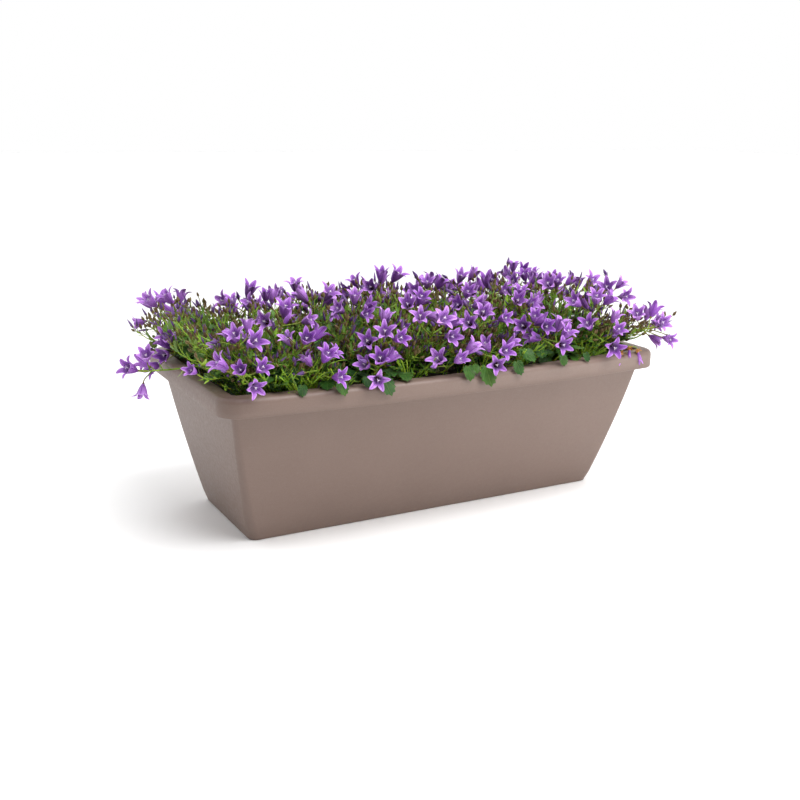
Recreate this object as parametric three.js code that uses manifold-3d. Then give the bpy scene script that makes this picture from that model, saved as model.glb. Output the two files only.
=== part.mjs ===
// A planted window box: a long tapered plastic trough with a turned-down rim,
// filled with potting soil and planted with two rows of bellflower clumps.
// Millimetres, +Z up. The origin is the middle of the box's underside, X runs
// along the box, and the front is towards -Y.

import * as THREE from "three";
import { mergeVertices } from "three/addons/utils/BufferGeometryUtils.js";
import Module from "manifold-3d";

// ---------------------------------------------------------------- dimensions

// The box. Half sizes are those of the plan at its corners; a bow is how far
// the middle of a side stands out beyond them.
const BOX = {
  height: 192,
  baseHalfLength: 247.4,
  baseHalfWidth: 82.6,
  topHalfLength: 281.5, // outer wall, just under the rim
  topHalfWidth: 130,
  frontBow: 14.8, // at the rim; the base's sides are straight
  endBow: 1.2,
  baseCorner: 12,
  topCorner: 6,
  bulge: 0.2, // 0 for flat walls, 1 for walls that curve like a parabola
  wall: 2.6,
  footRound: 3,
  rimDepth: 21.5,
  rimOverhang: 17,
  rimRound: 6,
  innerBreak: 0.5, // where the inside of the wall changes slope
};
const DRAIN = { count: 6, spacing: 72, radius: 4.5, sides: 8, fromMiddle: 36 };

// The soil, and the clearance that touching solids keep.
const GAP = 0.3;
const GRID = 500; // steps in a millimetre
const SOIL_BELOW_RIM = 26;
const SOIL_LUMP = 3;

// The plants: clumps in two rows, each with a crown that stands in a hole in
// the soil, leaves on stalks, and flowering stems.
const CLUMP = { columns: 4, rows: 2, pitch: 138, fromMiddle: 58 };
const CROWN = { radius: 10, depth: 16, neck: 6, height: 8, sides: 6 };
const STEM = { rootRadius: 1.6, tipRadius: 1.1, steps: 3, sides: 3 };
const LEAF = { count: 7, length: 24, points: 7, thick: 1.2, tooth: 0.86 };
const STEM_LEAF = { low: 0.4, high: 0.85, size: 0.72, reach: 7 };

// The canopy: one spray of blooms at the tip of each flowering stem.
const CANOPY = {
  columns: 8,
  rows: 6,
  pitch: 80,
  offset: 12, // of the whole canopy towards +X
  spread: 134, // how far the outer rows stand from the middle line
  lean: 1.3, // of the outer rows, in radians from upright
  leanForward: 0.12, // of all rows, towards the front
  crest: 52, // height of the stems' tips above the rim, along the middle
  crestWave: 8,
  wavePeak: 200,
  wavePeriod: 250,
  lowest: -4,
  endStart: 200, // beyond this distance from the middle the stems splay out
  endReach: 110,
  endLean: 0.4,
  endDrop: 0.22,
  endRise: 24, // of the outer rows there, so that they clear the rim
};
// Stems that arch out over the ends of the box, by their place in the canopy.
const ARCHING = {
  "0,2": [-328, -18, 9],
  "0,3": [-276, 62, 8],
  "7,1": [304, -104, 17],
};
const SPRAY = {
  blooms: 4,
  buds: 1,
  foot: 5, // of the lowest pedicel above the stem's tip
  step: 2.6,
  stalkRadius: 1.1,
  bloomsApart: 20,
  budApart: 12,
  tries: 40,
};
const BLOOM = {
  tube: 13, // height of the throat above the base
  throat: 6.4,
  calyx: 1.5,
  reach: 14.8, // of the tips from the axis, when wide open
  tipHeight: 17,
  closed: 0.35, // share by which the least open blooms are narrower
  opening: 0.55, // under 1 where more of the blooms are wide open
  wall: 1,
};
const BUD = { length: 13, radius: 2.1 };

// ------------------------------------------------------------- small helpers

const vec = (x, y, z) => new THREE.Vector3(x, y, z);
const UP = vec(0, 0, 1);
const lerp = THREE.MathUtils.lerp;
const clamp = THREE.MathUtils.clamp;

// A linear congruential generator, so that every run draws the same plant.
let seed = 406;
function random() {
  seed = (seed * 1664525 + 1013904223) % 4294967296;
  return seed / 4294967296;
}
const between = (low, high) => low + (high - low) * random();

// a + b * s, as a new vector.
const along = (a, b, s) => a.clone().addScaledVector(b, s);

// Two directions square to w and to each other.
function basis(w) {
  const helper = Math.abs(w.z) < 0.9 ? UP : vec(1, 0, 0);
  const u = vec(0, 0, 0).crossVectors(helper, w).normalize();
  return [u, vec(0, 0, 0).crossVectors(w, u)];
}

// The direction at an angle to w, turned about it by a second angle.
function tilted(w, angle, turn) {
  const [u, v] = basis(w);
  const side = u.multiplyScalar(Math.cos(turn)).addScaledVector(v, Math.sin(turn));
  return w.clone().multiplyScalar(Math.cos(angle)).addScaledVector(side, Math.sin(angle));
}

// A ring of points round a centre, square to w.
function ring(centre, w, radius, sides, turn = 0) {
  return Array.from({ length: sides }, (_, i) => {
    const a = turn + (2 * Math.PI * i) / sides;
    const [u, v] = basis(w);
    return along(along(centre, u, radius * Math.cos(a)), v, radius * Math.sin(a));
  });
}

// --------------------------------------------------------------- mesh making

const wasm = await Module();
wasm.setup();

// Triangles of three vectors each, as a geometry.
function geometryOf(triangles) {
  const positions = new Float32Array(triangles.flat().flatMap((p) => [p.x, p.y, p.z]));
  return new THREE.BufferGeometry().setAttribute(
    "position",
    new THREE.BufferAttribute(positions, 3),
  );
}

// A solid from triangles; those that have shrunk to a line are dropped.
function solidOf(triangles) {
  const whole = triangles.filter(([a, b, c]) => !(a.equals(b) || b.equals(c) || c.equals(a)));
  const merged = mergeVertices(geometryOf(whole), 1e-3);
  return new wasm.Manifold(
    new wasm.Mesh({
      numProp: 3,
      vertProperties: merged.attributes.position.array,
      triVerts: new Uint32Array(merged.index.array),
    }),
  );
}

function trianglesOf(solid) {
  const { numProp, vertProperties, triVerts } = solid.getMesh();
  const corner = (i) => vec(...vertProperties.slice(i * numProp, i * numProp + 3));
  const triangles = [];
  for (let i = 0; i < triVerts.length; i += 3) {
    triangles.push([corner(triVerts[i]), corner(triVerts[i + 1]), corner(triVerts[i + 2])]);
  }
  return triangles;
}

// Joins solids into one body, with its corners on a fine grid so that none lie
// closer than that; a scrap that touches nothing is dropped.
function fused(solids) {
  const snap = (p) => p.multiplyScalar(GRID).round().divideScalar(GRID);
  const triangles = trianglesOf(solids.reduce((a, b) => a.add(b)));
  const joined = solidOf(triangles.map((corners) => corners.map(snap)));
  return joined.decompose().reduce((a, b) => (a.volume() > b.volume() ? a : b));
}

// The band between two rings, which may hold different numbers of points. A
// ring of one point closes the band to a cone.
function band(low, high) {
  const triangles = [];
  let i = 0;
  let j = 0;
  while (i < low.length || j < high.length) {
    const a = low[i % low.length];
    const b = high[j % high.length];
    const stepLow = j === high.length || (i + 1) / low.length <= (j + 1) / high.length;
    if (i < low.length && stepLow) {
      i += 1;
      triangles.push([a, low[i % low.length], b]);
    } else {
      j += 1;
      triangles.push([a, high[j % high.length], b]);
    }
  }
  return triangles;
}

// A fan over a ring, from a point or from its own first corner.
function fan(points, from = points[0]) {
  const whole = from !== points[0];
  const triangles = [];
  for (let i = whole ? 0 : 1; i < points.length - (whole ? 0 : 1); i += 1) {
    triangles.push([from, points[i], points[(i + 1) % points.length]]);
  }
  return triangles;
}
const flipped = (triangles) => triangles.map(([a, b, c]) => [a, c, b]);

// A closed skin over a row of rings, with flat ends.
function skin(rings) {
  const sides = rings.slice(1).flatMap((next, i) => band(rings[i], next));
  return [...flipped(fan(rings[0])), ...sides, ...fan(rings[rings.length - 1])];
}

// A tube that thins from its root to its tip, along points of a curve.
function tube(points, rootRadius, tipRadius, sides, endDirection) {
  const last = points.length - 1;
  const rings = points.map((p, i) => {
    const before = points[Math.max(i - 1, 0)];
    const after = points[Math.min(i + 1, last)];
    const w = i === last && endDirection ? endDirection : after.clone().sub(before).normalize();
    return ring(p, w, lerp(rootRadius, tipRadius, i / last), sides);
  });
  return solidOf(skin(rings));
}

// ------------------------------------------------------------------- the box

// A rectangle with round corners and sides that stand out in the middle.
function plan({ halfX, halfY, corner, bowX, bowY }) {
  const cornerSteps = 3;
  const sideSteps = [6, 2]; // of the long sides and of the ends
  const points = [];
  for (let q = 0; q < 4; q += 1) {
    const centreX = (q === 0 || q === 3 ? 1 : -1) * (halfX - corner);
    const centreY = (q < 2 ? 1 : -1) * (halfY - corner);
    for (let i = 0; i <= cornerSteps; i += 1) {
      const a = (Math.PI / 2) * (q + i / cornerSteps);
      points.push([centreX + corner * Math.cos(a), centreY + corner * Math.sin(a)]);
    }
    const steps = sideSteps[q % 2];
    const [x0, y0] = points[points.length - 1];
    const [x1, y1] = q % 2 ? [x0, -y0] : [-x0, y0];
    for (let i = 1; i < steps; i += 1) {
      points.push([lerp(x0, x1, i / steps), lerp(y0, y1, i / steps)]);
    }
  }
  return points.map(([x, y]) => [
    x + (bowX * x * (1 - (y / halfY) ** 2)) / halfX,
    y + (bowY * y * (1 - (x / halfX) ** 2)) / halfY,
  ]);
}

// The wall's outer face at a height, moved in by a distance.
function wallAt(z, inset) {
  const t = clamp(z / (BOX.height - BOX.rimDepth), 0, 1);
  const g = lerp(t, 1 - (1 - t) ** 2, BOX.bulge);
  return {
    halfX: lerp(BOX.baseHalfLength, BOX.topHalfLength, g) - inset,
    halfY: lerp(BOX.baseHalfWidth, BOX.topHalfWidth, g) - inset,
    corner: Math.max(lerp(BOX.baseCorner, BOX.topCorner, g) - inset, 4),
    bowX: BOX.endBow * g,
    bowY: BOX.frontBow * g,
  };
}

// The rim's outer face, moved in by a distance.
function rimAt(inset) {
  const out = BOX.rimOverhang - inset;
  return {
    halfX: BOX.topHalfLength + out,
    halfY: BOX.topHalfWidth + out,
    corner: BOX.topCorner + out,
    bowX: BOX.endBow,
    bowY: BOX.frontBow,
  };
}

const level = (shape, z) => plan(shape).map(([x, y]) => vec(x, y, z));

function makeBox() {
  const top = BOX.height;
  const rimFoot = top - BOX.rimDepth;
  const flange = top - BOX.wall;
  const outer = [0.3, 0.65, 1].map((t) => level(wallAt(t * rimFoot, 0), t * rimFoot));
  const inner = [1, BOX.innerBreak].map((t) => level(wallAt(t * rimFoot, BOX.wall), t * rimFoot));
  const rings = [
    level(wallAt(0, BOX.footRound), 0),
    level(wallAt(BOX.footRound, 0), BOX.footRound),
    ...outer,
    level(wallAt(top, 0), flange - 2),
    level(rimAt(BOX.wall + 2), flange),
    level(rimAt(BOX.wall), flange - BOX.rimRound),
    level(rimAt(BOX.wall), rimFoot),
    level(rimAt(0), rimFoot),
    level(rimAt(0), top - BOX.rimRound),
    level(rimAt(BOX.rimRound * 0.3), top - BOX.rimRound * 0.3),
    level(rimAt(BOX.rimRound), top),
    level(wallAt(top, -1), top),
    level(wallAt(top, BOX.wall), top - 3),
    ...inner,
    level(wallAt(BOX.wall, BOX.wall + 1), BOX.wall),
  ];
  const sides = rings.slice(1).flatMap((next, i) => band(rings[i], next));
  const under = flipped(fan(rings[0], vec(0, 0, 0)));
  const floor = fan(rings[rings.length - 1], vec(0, 0, BOX.wall));
  let box = solidOf([...under, ...sides, ...floor]);
  for (let i = 0; i < DRAIN.count; i += 1) {
    const x = (i - (DRAIN.count - 1) / 2) * DRAIN.spacing;
    const y = i % 2 ? DRAIN.fromMiddle : -DRAIN.fromMiddle;
    box = box.subtract(peg(x, y, -1, BOX.wall + 1, DRAIN.radius, DRAIN.sides));
  }
  return box;
}

// An upright prism.
function peg(x, y, low, high, radius, sides) {
  const rings = [low, high].map((z) => ring(vec(x, y, z), UP, radius, sides));
  return solidOf(skin(rings));
}

// ------------------------------------------------------------------ the soil

const SOIL_TOP = BOX.height - SOIL_BELOW_RIM;

const crowns = [];
for (let r = 0; r < CLUMP.rows; r += 1) {
  for (let c = 0; c < CLUMP.columns; c += 1) {
    const x = (c - (CLUMP.columns - 1) / 2) * CLUMP.pitch;
    crowns.push(vec(x, (2 * r - 1) * CLUMP.fromMiddle, SOIL_TOP));
  }
}

// The lumpy surface of the soil, a little mounded along the middle.
function soilHeight(x, y) {
  const lump = Math.sin(x / 17) * Math.cos(y / 13) + Math.sin((x + 2 * y) / 29);
  return SOIL_TOP - 6 + SOIL_LUMP * (0.5 * lump + 1 - (y / BOX.topHalfWidth) ** 2);
}

// The soil's sides follow the inside of the wall, GAP away from it.
function makeSoil() {
  const inset = BOX.wall + GAP + 0.1;
  const rimFoot = BOX.height - BOX.rimDepth;
  const bend = BOX.innerBreak * rimFoot;
  const brim = level(wallAt(rimFoot, inset), rimFoot);
  const waist = level(wallAt(bend, inset), bend);
  const foot = level(wallAt(BOX.wall, inset + 2), BOX.wall + GAP);
  const edge = waist.map((p, i) => p.clone().lerp(brim[i], (SOIL_TOP - 9 - bend) / (rimFoot - bend)));
  const mound = [0.36, 0.72].map((s) =>
    edge.map((p) => vec(p.x * s, p.y * s, soilHeight(p.x * s, p.y * s))),
  );
  const rings = [...mound, edge, waist, foot];
  const bands = rings.slice(1).flatMap((next, i) => band(rings[i], next));
  const top = flipped(fan(rings[0], vec(0, 0, soilHeight(0, 0))));
  const under = fan(foot, vec(0, 0, BOX.wall + GAP));
  let soil = solidOf(flipped([...top, ...bands, ...under]));
  for (const { x, y } of crowns) {
    const hole = peg(x, y, SOIL_TOP - CROWN.depth - GAP, SOIL_TOP + 20, CROWN.radius + 0.4, CROWN.sides);
    soil = soil.subtract(hole);
  }
  return soil;
}

// -------------------------------------------------------- where things grow

// Balls that stand for what has been placed, each with the number of its node,
// so that nothing is grown through a neighbour.
const balls = [];
const place = (node, centre, radius) => balls.push({ node, centre, radius });

function clearOfBox({ x, y, z }, radius) {
  if (z - radius > BOX.height + 1) return true;
  const cornerX = Math.max(Math.abs(x) - (BOX.topHalfLength - 30), 0);
  const cornerY = Math.max(Math.abs(y) - (BOX.topHalfWidth - 30), 0);
  const inMouth = Math.hypot(cornerX, cornerY) < 27 - radius;
  const outside =
    Math.abs(x) - radius > BOX.topHalfLength + BOX.rimOverhang + 3 ||
    Math.abs(y) - radius > BOX.topHalfWidth + BOX.frontBow + BOX.rimOverhang + 1;
  return outside || (inMouth && z - radius > soilHeight(x, y) + 2);
}

function isClear(node, centre, radius, spared = null, sparedRadius = 0) {
  if (!clearOfBox(centre, radius)) return false;
  return balls.every((b) => {
    if (b.node === node) return true;
    if (spared && b.centre.distanceTo(spared) < sparedRadius) return true;
    return b.centre.distanceTo(centre) > b.radius + radius + GAP;
  });
}

// The tip of a flowering stem, and the way that it points.
function canopyTip(column, row) {
  const half = (CANOPY.rows - 1) / 2;
  const columnsOff = column - (CANOPY.columns - 1) / 2;
  const x = CANOPY.offset + columnsOff * CANOPY.pitch + between(-12, 12);
  const upright = ((row - half) / half) * CANOPY.lean;
  const lean = upright - CANOPY.leanForward + between(-0.12, 0.12);
  const wave = Math.cos((2 * Math.PI * (x - CANOPY.wavePeak)) / CANOPY.wavePeriod);
  const end = clamp((Math.abs(x) - CANOPY.endStart) / CANOPY.endReach, 0, 1);
  const crest =
    (CANOPY.crest + CANOPY.crestWave * wave + between(-9, 9)) * (1 - CANOPY.endDrop * end * end);
  const rise = Math.max(Math.cos(lean), 0.05) ** 0.8;
  const z =
    BOX.height + lerp(CANOPY.lowest, crest, rise) + CANOPY.endRise * end * (1 - rise);
  const tip = vec(x, CANOPY.spread * Math.sin(lean), z);
  const arch = ARCHING[`${column},${row}`];
  const axis = vec(Math.sign(x) * CANOPY.endLean * end, 0.7 * Math.sin(lean), Math.cos(lean) + 0.5);
  if (arch) {
    tip.set(arch[0], arch[1], BOX.height + arch[2]);
    axis.set(Math.sign(x), 0, 0.1);
  }
  return { tip, axis: axis.normalize() };
}

// The curve of a stem from a crown to its tip.
function stemPoints(crown, tip, axis) {
  const sideways = tip.clone().sub(crown).setZ(0);
  const start = along(along(crown, UP, CROWN.height - 5), sideways, 3.5 / sideways.length());
  const reach = tip.distanceTo(start);
  const rise = along(along(start, sideways, 0.28), UP, 0.42 * reach);
  const curve = new THREE.CubicBezierCurve3(start, rise, along(tip, axis, -0.3 * reach), tip);
  return curve.getPoints(STEM.steps);
}

function growStems(node, crown, tips) {
  const stems = tips.map(({ tip, axis }) => ({ tip, axis, points: stemPoints(crown, tip, axis) }));
  for (const { points } of stems) {
    for (let i = 1; i < points.length; i += 1) {
      for (let s = 0.125; s <= 1; s += 0.125) {
        place(node, points[i - 1].clone().lerp(points[i], s), 1.8);
      }
    }
  }
  return stems;
}

// A leaf that leaves a point in a direction, if there is room for it.
function tryLeaf(node, from, out, reach, rise, size) {
  const foot = along(along(from, out, reach), UP, rise);
  const facing = along(along(UP, out, between(0.2, 1)), vec(0, -1, 0), 0.3).normalize();
  const across = vec(0, 0, 0).crossVectors(facing, out).normalize();
  const ahead = vec(0, 0, 0).crossVectors(across, facing);
  const middle = along(foot, ahead, 0.45 * LEAF.length * size);
  const room = 0.5 * LEAF.length * size;
  if (!isClear(node, middle, room) || !isClear(node, foot, 3)) return null;
  place(node, middle, room);
  return { from, foot, facing, across, ahead, size };
}

// Leaves stand round the crown on long stalks, and singly along the stems.
function growLeaves(node, crown, stems) {
  const leaves = [];
  for (let k = 0; k < LEAF.count; k += 1) {
    for (let attempt = 0, leaf = null; attempt < SPRAY.tries && !leaf; attempt += 1) {
      const turn = (k / LEAF.count) * 2 * Math.PI + between(-0.5, 0.5);
      const out = vec(Math.cos(turn), Math.sin(turn), 0);
      const from = along(along(crown, UP, CROWN.height - 7), out, 4);
      leaf = tryLeaf(node, from, out, between(24, 66), between(14, 46), between(0.8, 1.15));
      if (leaf) leaves.push(leaf);
    }
  }
  for (const { points } of stems) {
    for (let attempt = 0, leaf = null; attempt < SPRAY.tries && !leaf; attempt += 1) {
      const place01 = between(STEM_LEAF.low, STEM_LEAF.high) * (points.length - 1);
      const i = Math.floor(place01);
      const from = points[i].clone().lerp(points[i + 1], place01 - i);
      const turn = between(0, 2 * Math.PI);
      const out = vec(Math.cos(turn), Math.sin(turn), 0);
      const size = STEM_LEAF.size * between(0.85, 1.15);
      leaf = tryLeaf(node, from, out, STEM_LEAF.reach, between(0, 4), size);
      if (leaf) leaves.push(leaf);
    }
  }
  return leaves;
}

// The points that shape a bloom: the notches between its five lobes, and the
// lobes' tips.
function bloomPoints({ base, facing, size, open, turn }) {
  const width = lerp(1 - BLOOM.closed, 1, open);
  const [u, v] = basis(facing);
  const at = (k, radius, height) => {
    const a = turn + (2 * Math.PI * k) / 5;
    const out = along(along(base, u, radius * size * Math.cos(a)), v, radius * size * Math.sin(a));
    return along(out, facing, height * size);
  };
  const five = [0, 1, 2, 3, 4];
  const tipHeight = lerp(BLOOM.tipHeight + 4, BLOOM.tipHeight, open);
  return {
    notch: five.map((k) => at(k + 0.5, BLOOM.throat, BLOOM.tube)),
    tip: five.map((k) => at(k, BLOOM.reach * width, tipHeight)),
    inside: five.map((k) => at(k, BLOOM.throat * 0.81 - BLOOM.wall, BLOOM.tube + 0.6)),
    heart: at(0, 0, BLOOM.tube * 0.35),
  };
}

// The balls that a bloom or a bud fills.
function ballsOf(item) {
  const { isBloom, root, base, facing, size } = item;
  const pedicel = { centre: root.clone().lerp(base, 0.5), radius: 1.4, thin: true };
  if (!isBloom) {
    const middle = along(base, facing, BUD.length * 0.5 * size);
    return [{ centre: middle, radius: 4 }, { centre: base, radius: 2 }, pedicel];
  }
  const mouth = along(base, facing, BLOOM.tube * size);
  const lobes = bloomPoints(item).tip.map((p) => ({ centre: mouth.clone().lerp(p, 0.85), radius: 3.2 }));
  const neck = { centre: along(base, facing, 4), radius: 4.5 };
  return [{ centre: mouth, radius: 8.5 * size }, neck, pedicel, ...lobes];
}

// One bloom or bud of a spray, where there is room for it. The first bloom
// leads: it ends a stalk that goes on from the stem's tip. The others stand
// round that stalk on pedicels, a step higher each.
function growItem(node, { tip, axis }, k, isBloom, items) {
  const hub = along(tip, axis, GAP);
  const leads = k === 0;
  const stalk = leads ? axis : items[0].way;
  for (let attempt = 0; attempt < (leads ? 8 : 1) * SPRAY.tries; attempt += 1) {
    const angle = leads ? between(0, 0.3 + attempt / 400) : between(0.4, 1.5);
    const way = tilted(axis, angle, k * 2.4 + between(-0.7, 0.7));
    const root = along(hub, stalk, leads ? 0 : SPRAY.foot + SPRAY.step * (k - 1));
    const reach = isBloom ? between(9, 24) : between(14, 30);
    const base = along(root, way, leads ? between(18, 28) : reach);
    const wander = vec(between(-0.6, 0.3), between(-1, 0.15), between(-0.1, 0.5));
    const facing = way.clone().add(wander).normalize();
    const item = { isBloom, leads, root, base, way, facing, size: between(0.88, 1.12) };
    item.open = random() ** BLOOM.opening;
    item.turn = between(0, 1.2);
    item.room = ballsOf(item);
    const { centre } = item.room[0];
    const apart = isBloom ? SPRAY.bloomsApart : SPRAY.budApart;
    const near = items.some((o) => o.room[0].centre.distanceTo(centre) < apart);
    const hits = item.room.some((b) => !isClear(node, b.centre, b.radius, tip, b.thin ? 9 : 0));
    if (!near && !hits) {
      item.room.forEach((b) => place(node, b.centre, b.radius));
      items.push(item);
      return;
    }
  }
}

// ------------------------------------------------------------- plant shapes

// A heart-shaped leaf with a toothed, waved edge, thick along the middle and
// sharp at the edge. Its three-sided stalk widens from a point into the notch.
function leafSolid({ from, foot, facing, across, ahead, size }) {
  const length = LEAF.length * size;
  const middle = along(foot, ahead, 0.45 * length);
  const edge = Array.from({ length: LEAF.points }, (_, i) => {
    const a = Math.PI * (0.86 - (1.72 * i) / (LEAF.points - 1));
    const heart = 0.5 * (1 + 0.16 * Math.cos(a) ** 3 - 0.1 * Math.sin(a) ** 2);
    const radius = length * heart * (i % 2 ? LEAF.tooth : 1);
    const lift = (i % 2 ? -0.6 : 0.8) + 1.6 * Math.abs(Math.sin(a));
    const out = along(along(middle, ahead, radius * Math.cos(a)), across, radius * Math.sin(a));
    return along(out, facing, lift);
  });
  const notch = along(middle, ahead, -0.3 * length);
  const left = along(notch, across, 0.7);
  const right = along(notch, across, -0.7);
  const under = along(notch, facing, -1);
  const above = along(middle, facing, LEAF.thick * 0.5);
  const below = along(middle, facing, -LEAF.thick * 0.5);
  const bend = along(from.clone().lerp(foot, 0.55), UP, 5);
  const back = from.clone().sub(notch).normalize();
  const rings = [[left, under, right]];
  if (from.distanceTo(foot) > STEM_LEAF.reach + 5) {
    rings.push(turned(ring(bend, back, 0.9, 3), rings[0]));
  }
  rings.push([from]);
  const stalk = rings.slice(1).flatMap((next, i) => band(rings[i], next));
  const outline = [left, ...edge, right];
  const top = flipped(fan(outline, above));
  const bottom = fan([...outline, under], below);
  return solidOf([...top, ...bottom, ...stalk]);
}

function crownSolid(crown) {
  const rings = [
    ring(along(crown, UP, -CROWN.depth), UP, CROWN.radius * 0.8, CROWN.sides),
    ring(along(crown, UP, -4), UP, CROWN.radius, CROWN.sides),
    ring(along(crown, UP, CROWN.height), UP, CROWN.neck, CROWN.sides),
  ];
  return solidOf(skin(rings));
}

function stemSolid({ points, axis }) {
  return tube(points, STEM.rootRadius, STEM.tipRadius, STEM.sides, axis);
}

// A bloom on its pedicel: a five-sided bell whose wall ends in five pointed
// lobes. Each lobe has a keel inside and sharp edges.
function bloomSolid(item) {
  const { root, base, way, facing, size, leads } = item;
  const { notch, tip, inside, heart } = bloomPoints(item);
  const foot = leads ? ring(root, way, SPRAY.stalkRadius, STEM.sides) : [root];
  const calyx = ring(base, facing, BLOOM.calyx * size, STEM.sides);
  const triangles = [...flipped(fan(foot)), ...band(foot, calyx)];
  triangles.push(...band(calyx, turned(notch, calyx)));
  notch.forEach((_, k) => {
    const before = notch[(k + 4) % 5];
    triangles.push([before, notch[k], tip[k]]);
    triangles.push([before, tip[k], inside[k]], [inside[k], tip[k], notch[k]]);
  });
  triangles.push(...fan(notch.flatMap((p, k) => [inside[k], p]), heart));
  return solidOf(triangles);
}

// The ring, started at the point that lies farthest along the way in which
// another ring's first point stands off from its middle.
function turned(points, other) {
  const middleOf = (ps) => ps.reduce((sum, p) => sum.add(p), vec(0, 0, 0)).divideScalar(ps.length);
  const way = other[0].clone().sub(middleOf(other));
  const reaches = points.map((p) => p.dot(way));
  const start = reaches.indexOf(Math.max(...reaches));
  return points.map((_, i) => points[(i + start) % points.length]);
}

// A bud on its pedicel: a three-sided spindle.
function budSolid({ root, base, facing, size }) {
  const rings = [
    [root],
    ring(base, facing, 1.1, STEM.sides),
    ring(along(base, facing, BUD.length * 0.4 * size), facing, BUD.radius * size, STEM.sides),
    ring(along(base, facing, BUD.length * size), facing, 0.35, STEM.sides),
  ];
  return solidOf(skin(rings));
}

const spraySolid = (items) => fused(items.map((o) => (o.isBloom ? bloomSolid(o) : budSolid(o))));

// ------------------------------------------------------------------ assembly

const FINISH = {
  box: { color: 0x8f7a70, roughness: 0.55 },
  soil: { color: 0x2b1f17, roughness: 1 },
  foliage: { color: 0x4f7d2c, roughness: 0.7 },
  petals: { color: 0x8a5cb5, roughness: 0.6 },
};
const materials = Object.fromEntries(
  Object.entries(FINISH).map(([name, look]) => [
    name,
    new THREE.MeshStandardMaterial({ metalness: 0, ...look }),
  ]),
);

const model = new THREE.Group();
function add(name, solid, finish) {
  const geometry = geometryOf(trianglesOf(solid));
  geometry.computeVertexNormals();
  const mesh = new THREE.Mesh(geometry, materials[finish]);
  mesh.name = name;
  model.add(mesh);
}

add("window_box", makeBox(), "box");
add("potting_soil", makeSoil(), "soil");

// Each clump holds the canopy's tips that stand over it.
const tipsOver = crowns.map(() => []);
for (let row = 0; row < CANOPY.rows; row += 1) {
  for (let column = 0; column < CANOPY.columns; column += 1) {
    const clumpRow = Math.floor((row * CLUMP.rows) / CANOPY.rows);
    const clumpColumn = Math.floor((column * CLUMP.columns) / CANOPY.columns);
    tipsOver[clumpRow * CLUMP.columns + clumpColumn].push(canopyTip(column, row));
  }
}

const clumps = crowns.map((crown, i) => ({ crown, stems: growStems(i, crown, tipsOver[i]) }));
clumps.forEach((clump, i) => {
  clump.leaves = growLeaves(i, clump.crown, clump.stems);
});
const sprays = clumps.flatMap(({ stems }) => stems.map((stem) => ({ stem, items: [] })));
for (let k = 0; k < SPRAY.blooms + SPRAY.buds; k += 1) {
  sprays.forEach(({ stem, items }, i) => {
    growItem(crowns.length + i, stem, k, k < SPRAY.blooms, items);
  });
}

clumps.forEach((clump, i) => {
  const greens = [
    crownSolid(clump.crown),
    ...clump.stems.map(stemSolid),
    ...clump.leaves.map(leafSolid),
  ];
  add(`plant_${i + 1}_leafy_stems`, fused(greens), "foliage");
  clump.stems.forEach((_, k) => {
    const { items } = sprays[i * clump.stems.length + k];
    add(`plant_${i + 1}_bloom_spray_${k + 1}`, spraySolid(items), "petals");
  });
});

export default model;
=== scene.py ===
# The looks of a planted window box: a long tapered plastic trough with a
# turned-down rim, filled with potting soil and planted with two rows of
# bellflower clumps. Layout sizes are in millimetres, and become metres when a
# mesh is made. +Z is up, X runs along the box, and the front is towards -Y.

import math
from types import SimpleNamespace as Sizes

import bpy
import numpy as np
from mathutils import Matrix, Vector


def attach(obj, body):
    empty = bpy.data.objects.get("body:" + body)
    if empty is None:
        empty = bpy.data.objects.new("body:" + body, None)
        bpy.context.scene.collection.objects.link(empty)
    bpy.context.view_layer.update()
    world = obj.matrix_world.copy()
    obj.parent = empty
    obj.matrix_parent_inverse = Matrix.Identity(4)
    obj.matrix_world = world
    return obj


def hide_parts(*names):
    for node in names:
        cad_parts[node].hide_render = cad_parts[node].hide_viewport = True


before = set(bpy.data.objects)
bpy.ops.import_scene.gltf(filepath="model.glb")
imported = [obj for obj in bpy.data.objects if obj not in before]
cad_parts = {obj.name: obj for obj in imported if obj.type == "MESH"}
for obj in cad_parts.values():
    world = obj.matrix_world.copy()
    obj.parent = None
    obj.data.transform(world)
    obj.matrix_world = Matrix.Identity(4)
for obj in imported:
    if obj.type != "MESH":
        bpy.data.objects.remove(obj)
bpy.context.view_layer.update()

MM = 0.001
TURN = 2 * math.pi

# ---------------------------------------------------------------- dimensions

# The frame's driving dimensions, which the finer pieces are worked out from. A
# size that is given as a pair of numbers is drawn from that range.
BOX = Sizes(
    height=192,
    base_half_length=247.4,
    base_half_width=82.6,
    top_half_length=281.5,
    top_half_width=130,
    front_bow=14.8,
    end_bow=1.2,
    base_corner=12,
    top_corner=6,
    bulge=0.2,
    wall=2.6,
    foot_round=3,
    rim_depth=21.5,
    rim_overhang=17,
    rim_round=6,
)
RIM_FOOT = BOX.height - BOX.rim_depth
DRAIN = Sizes(count=6, spacing=72, radius=4.5, from_middle=36)
GAP = 0.3
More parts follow.
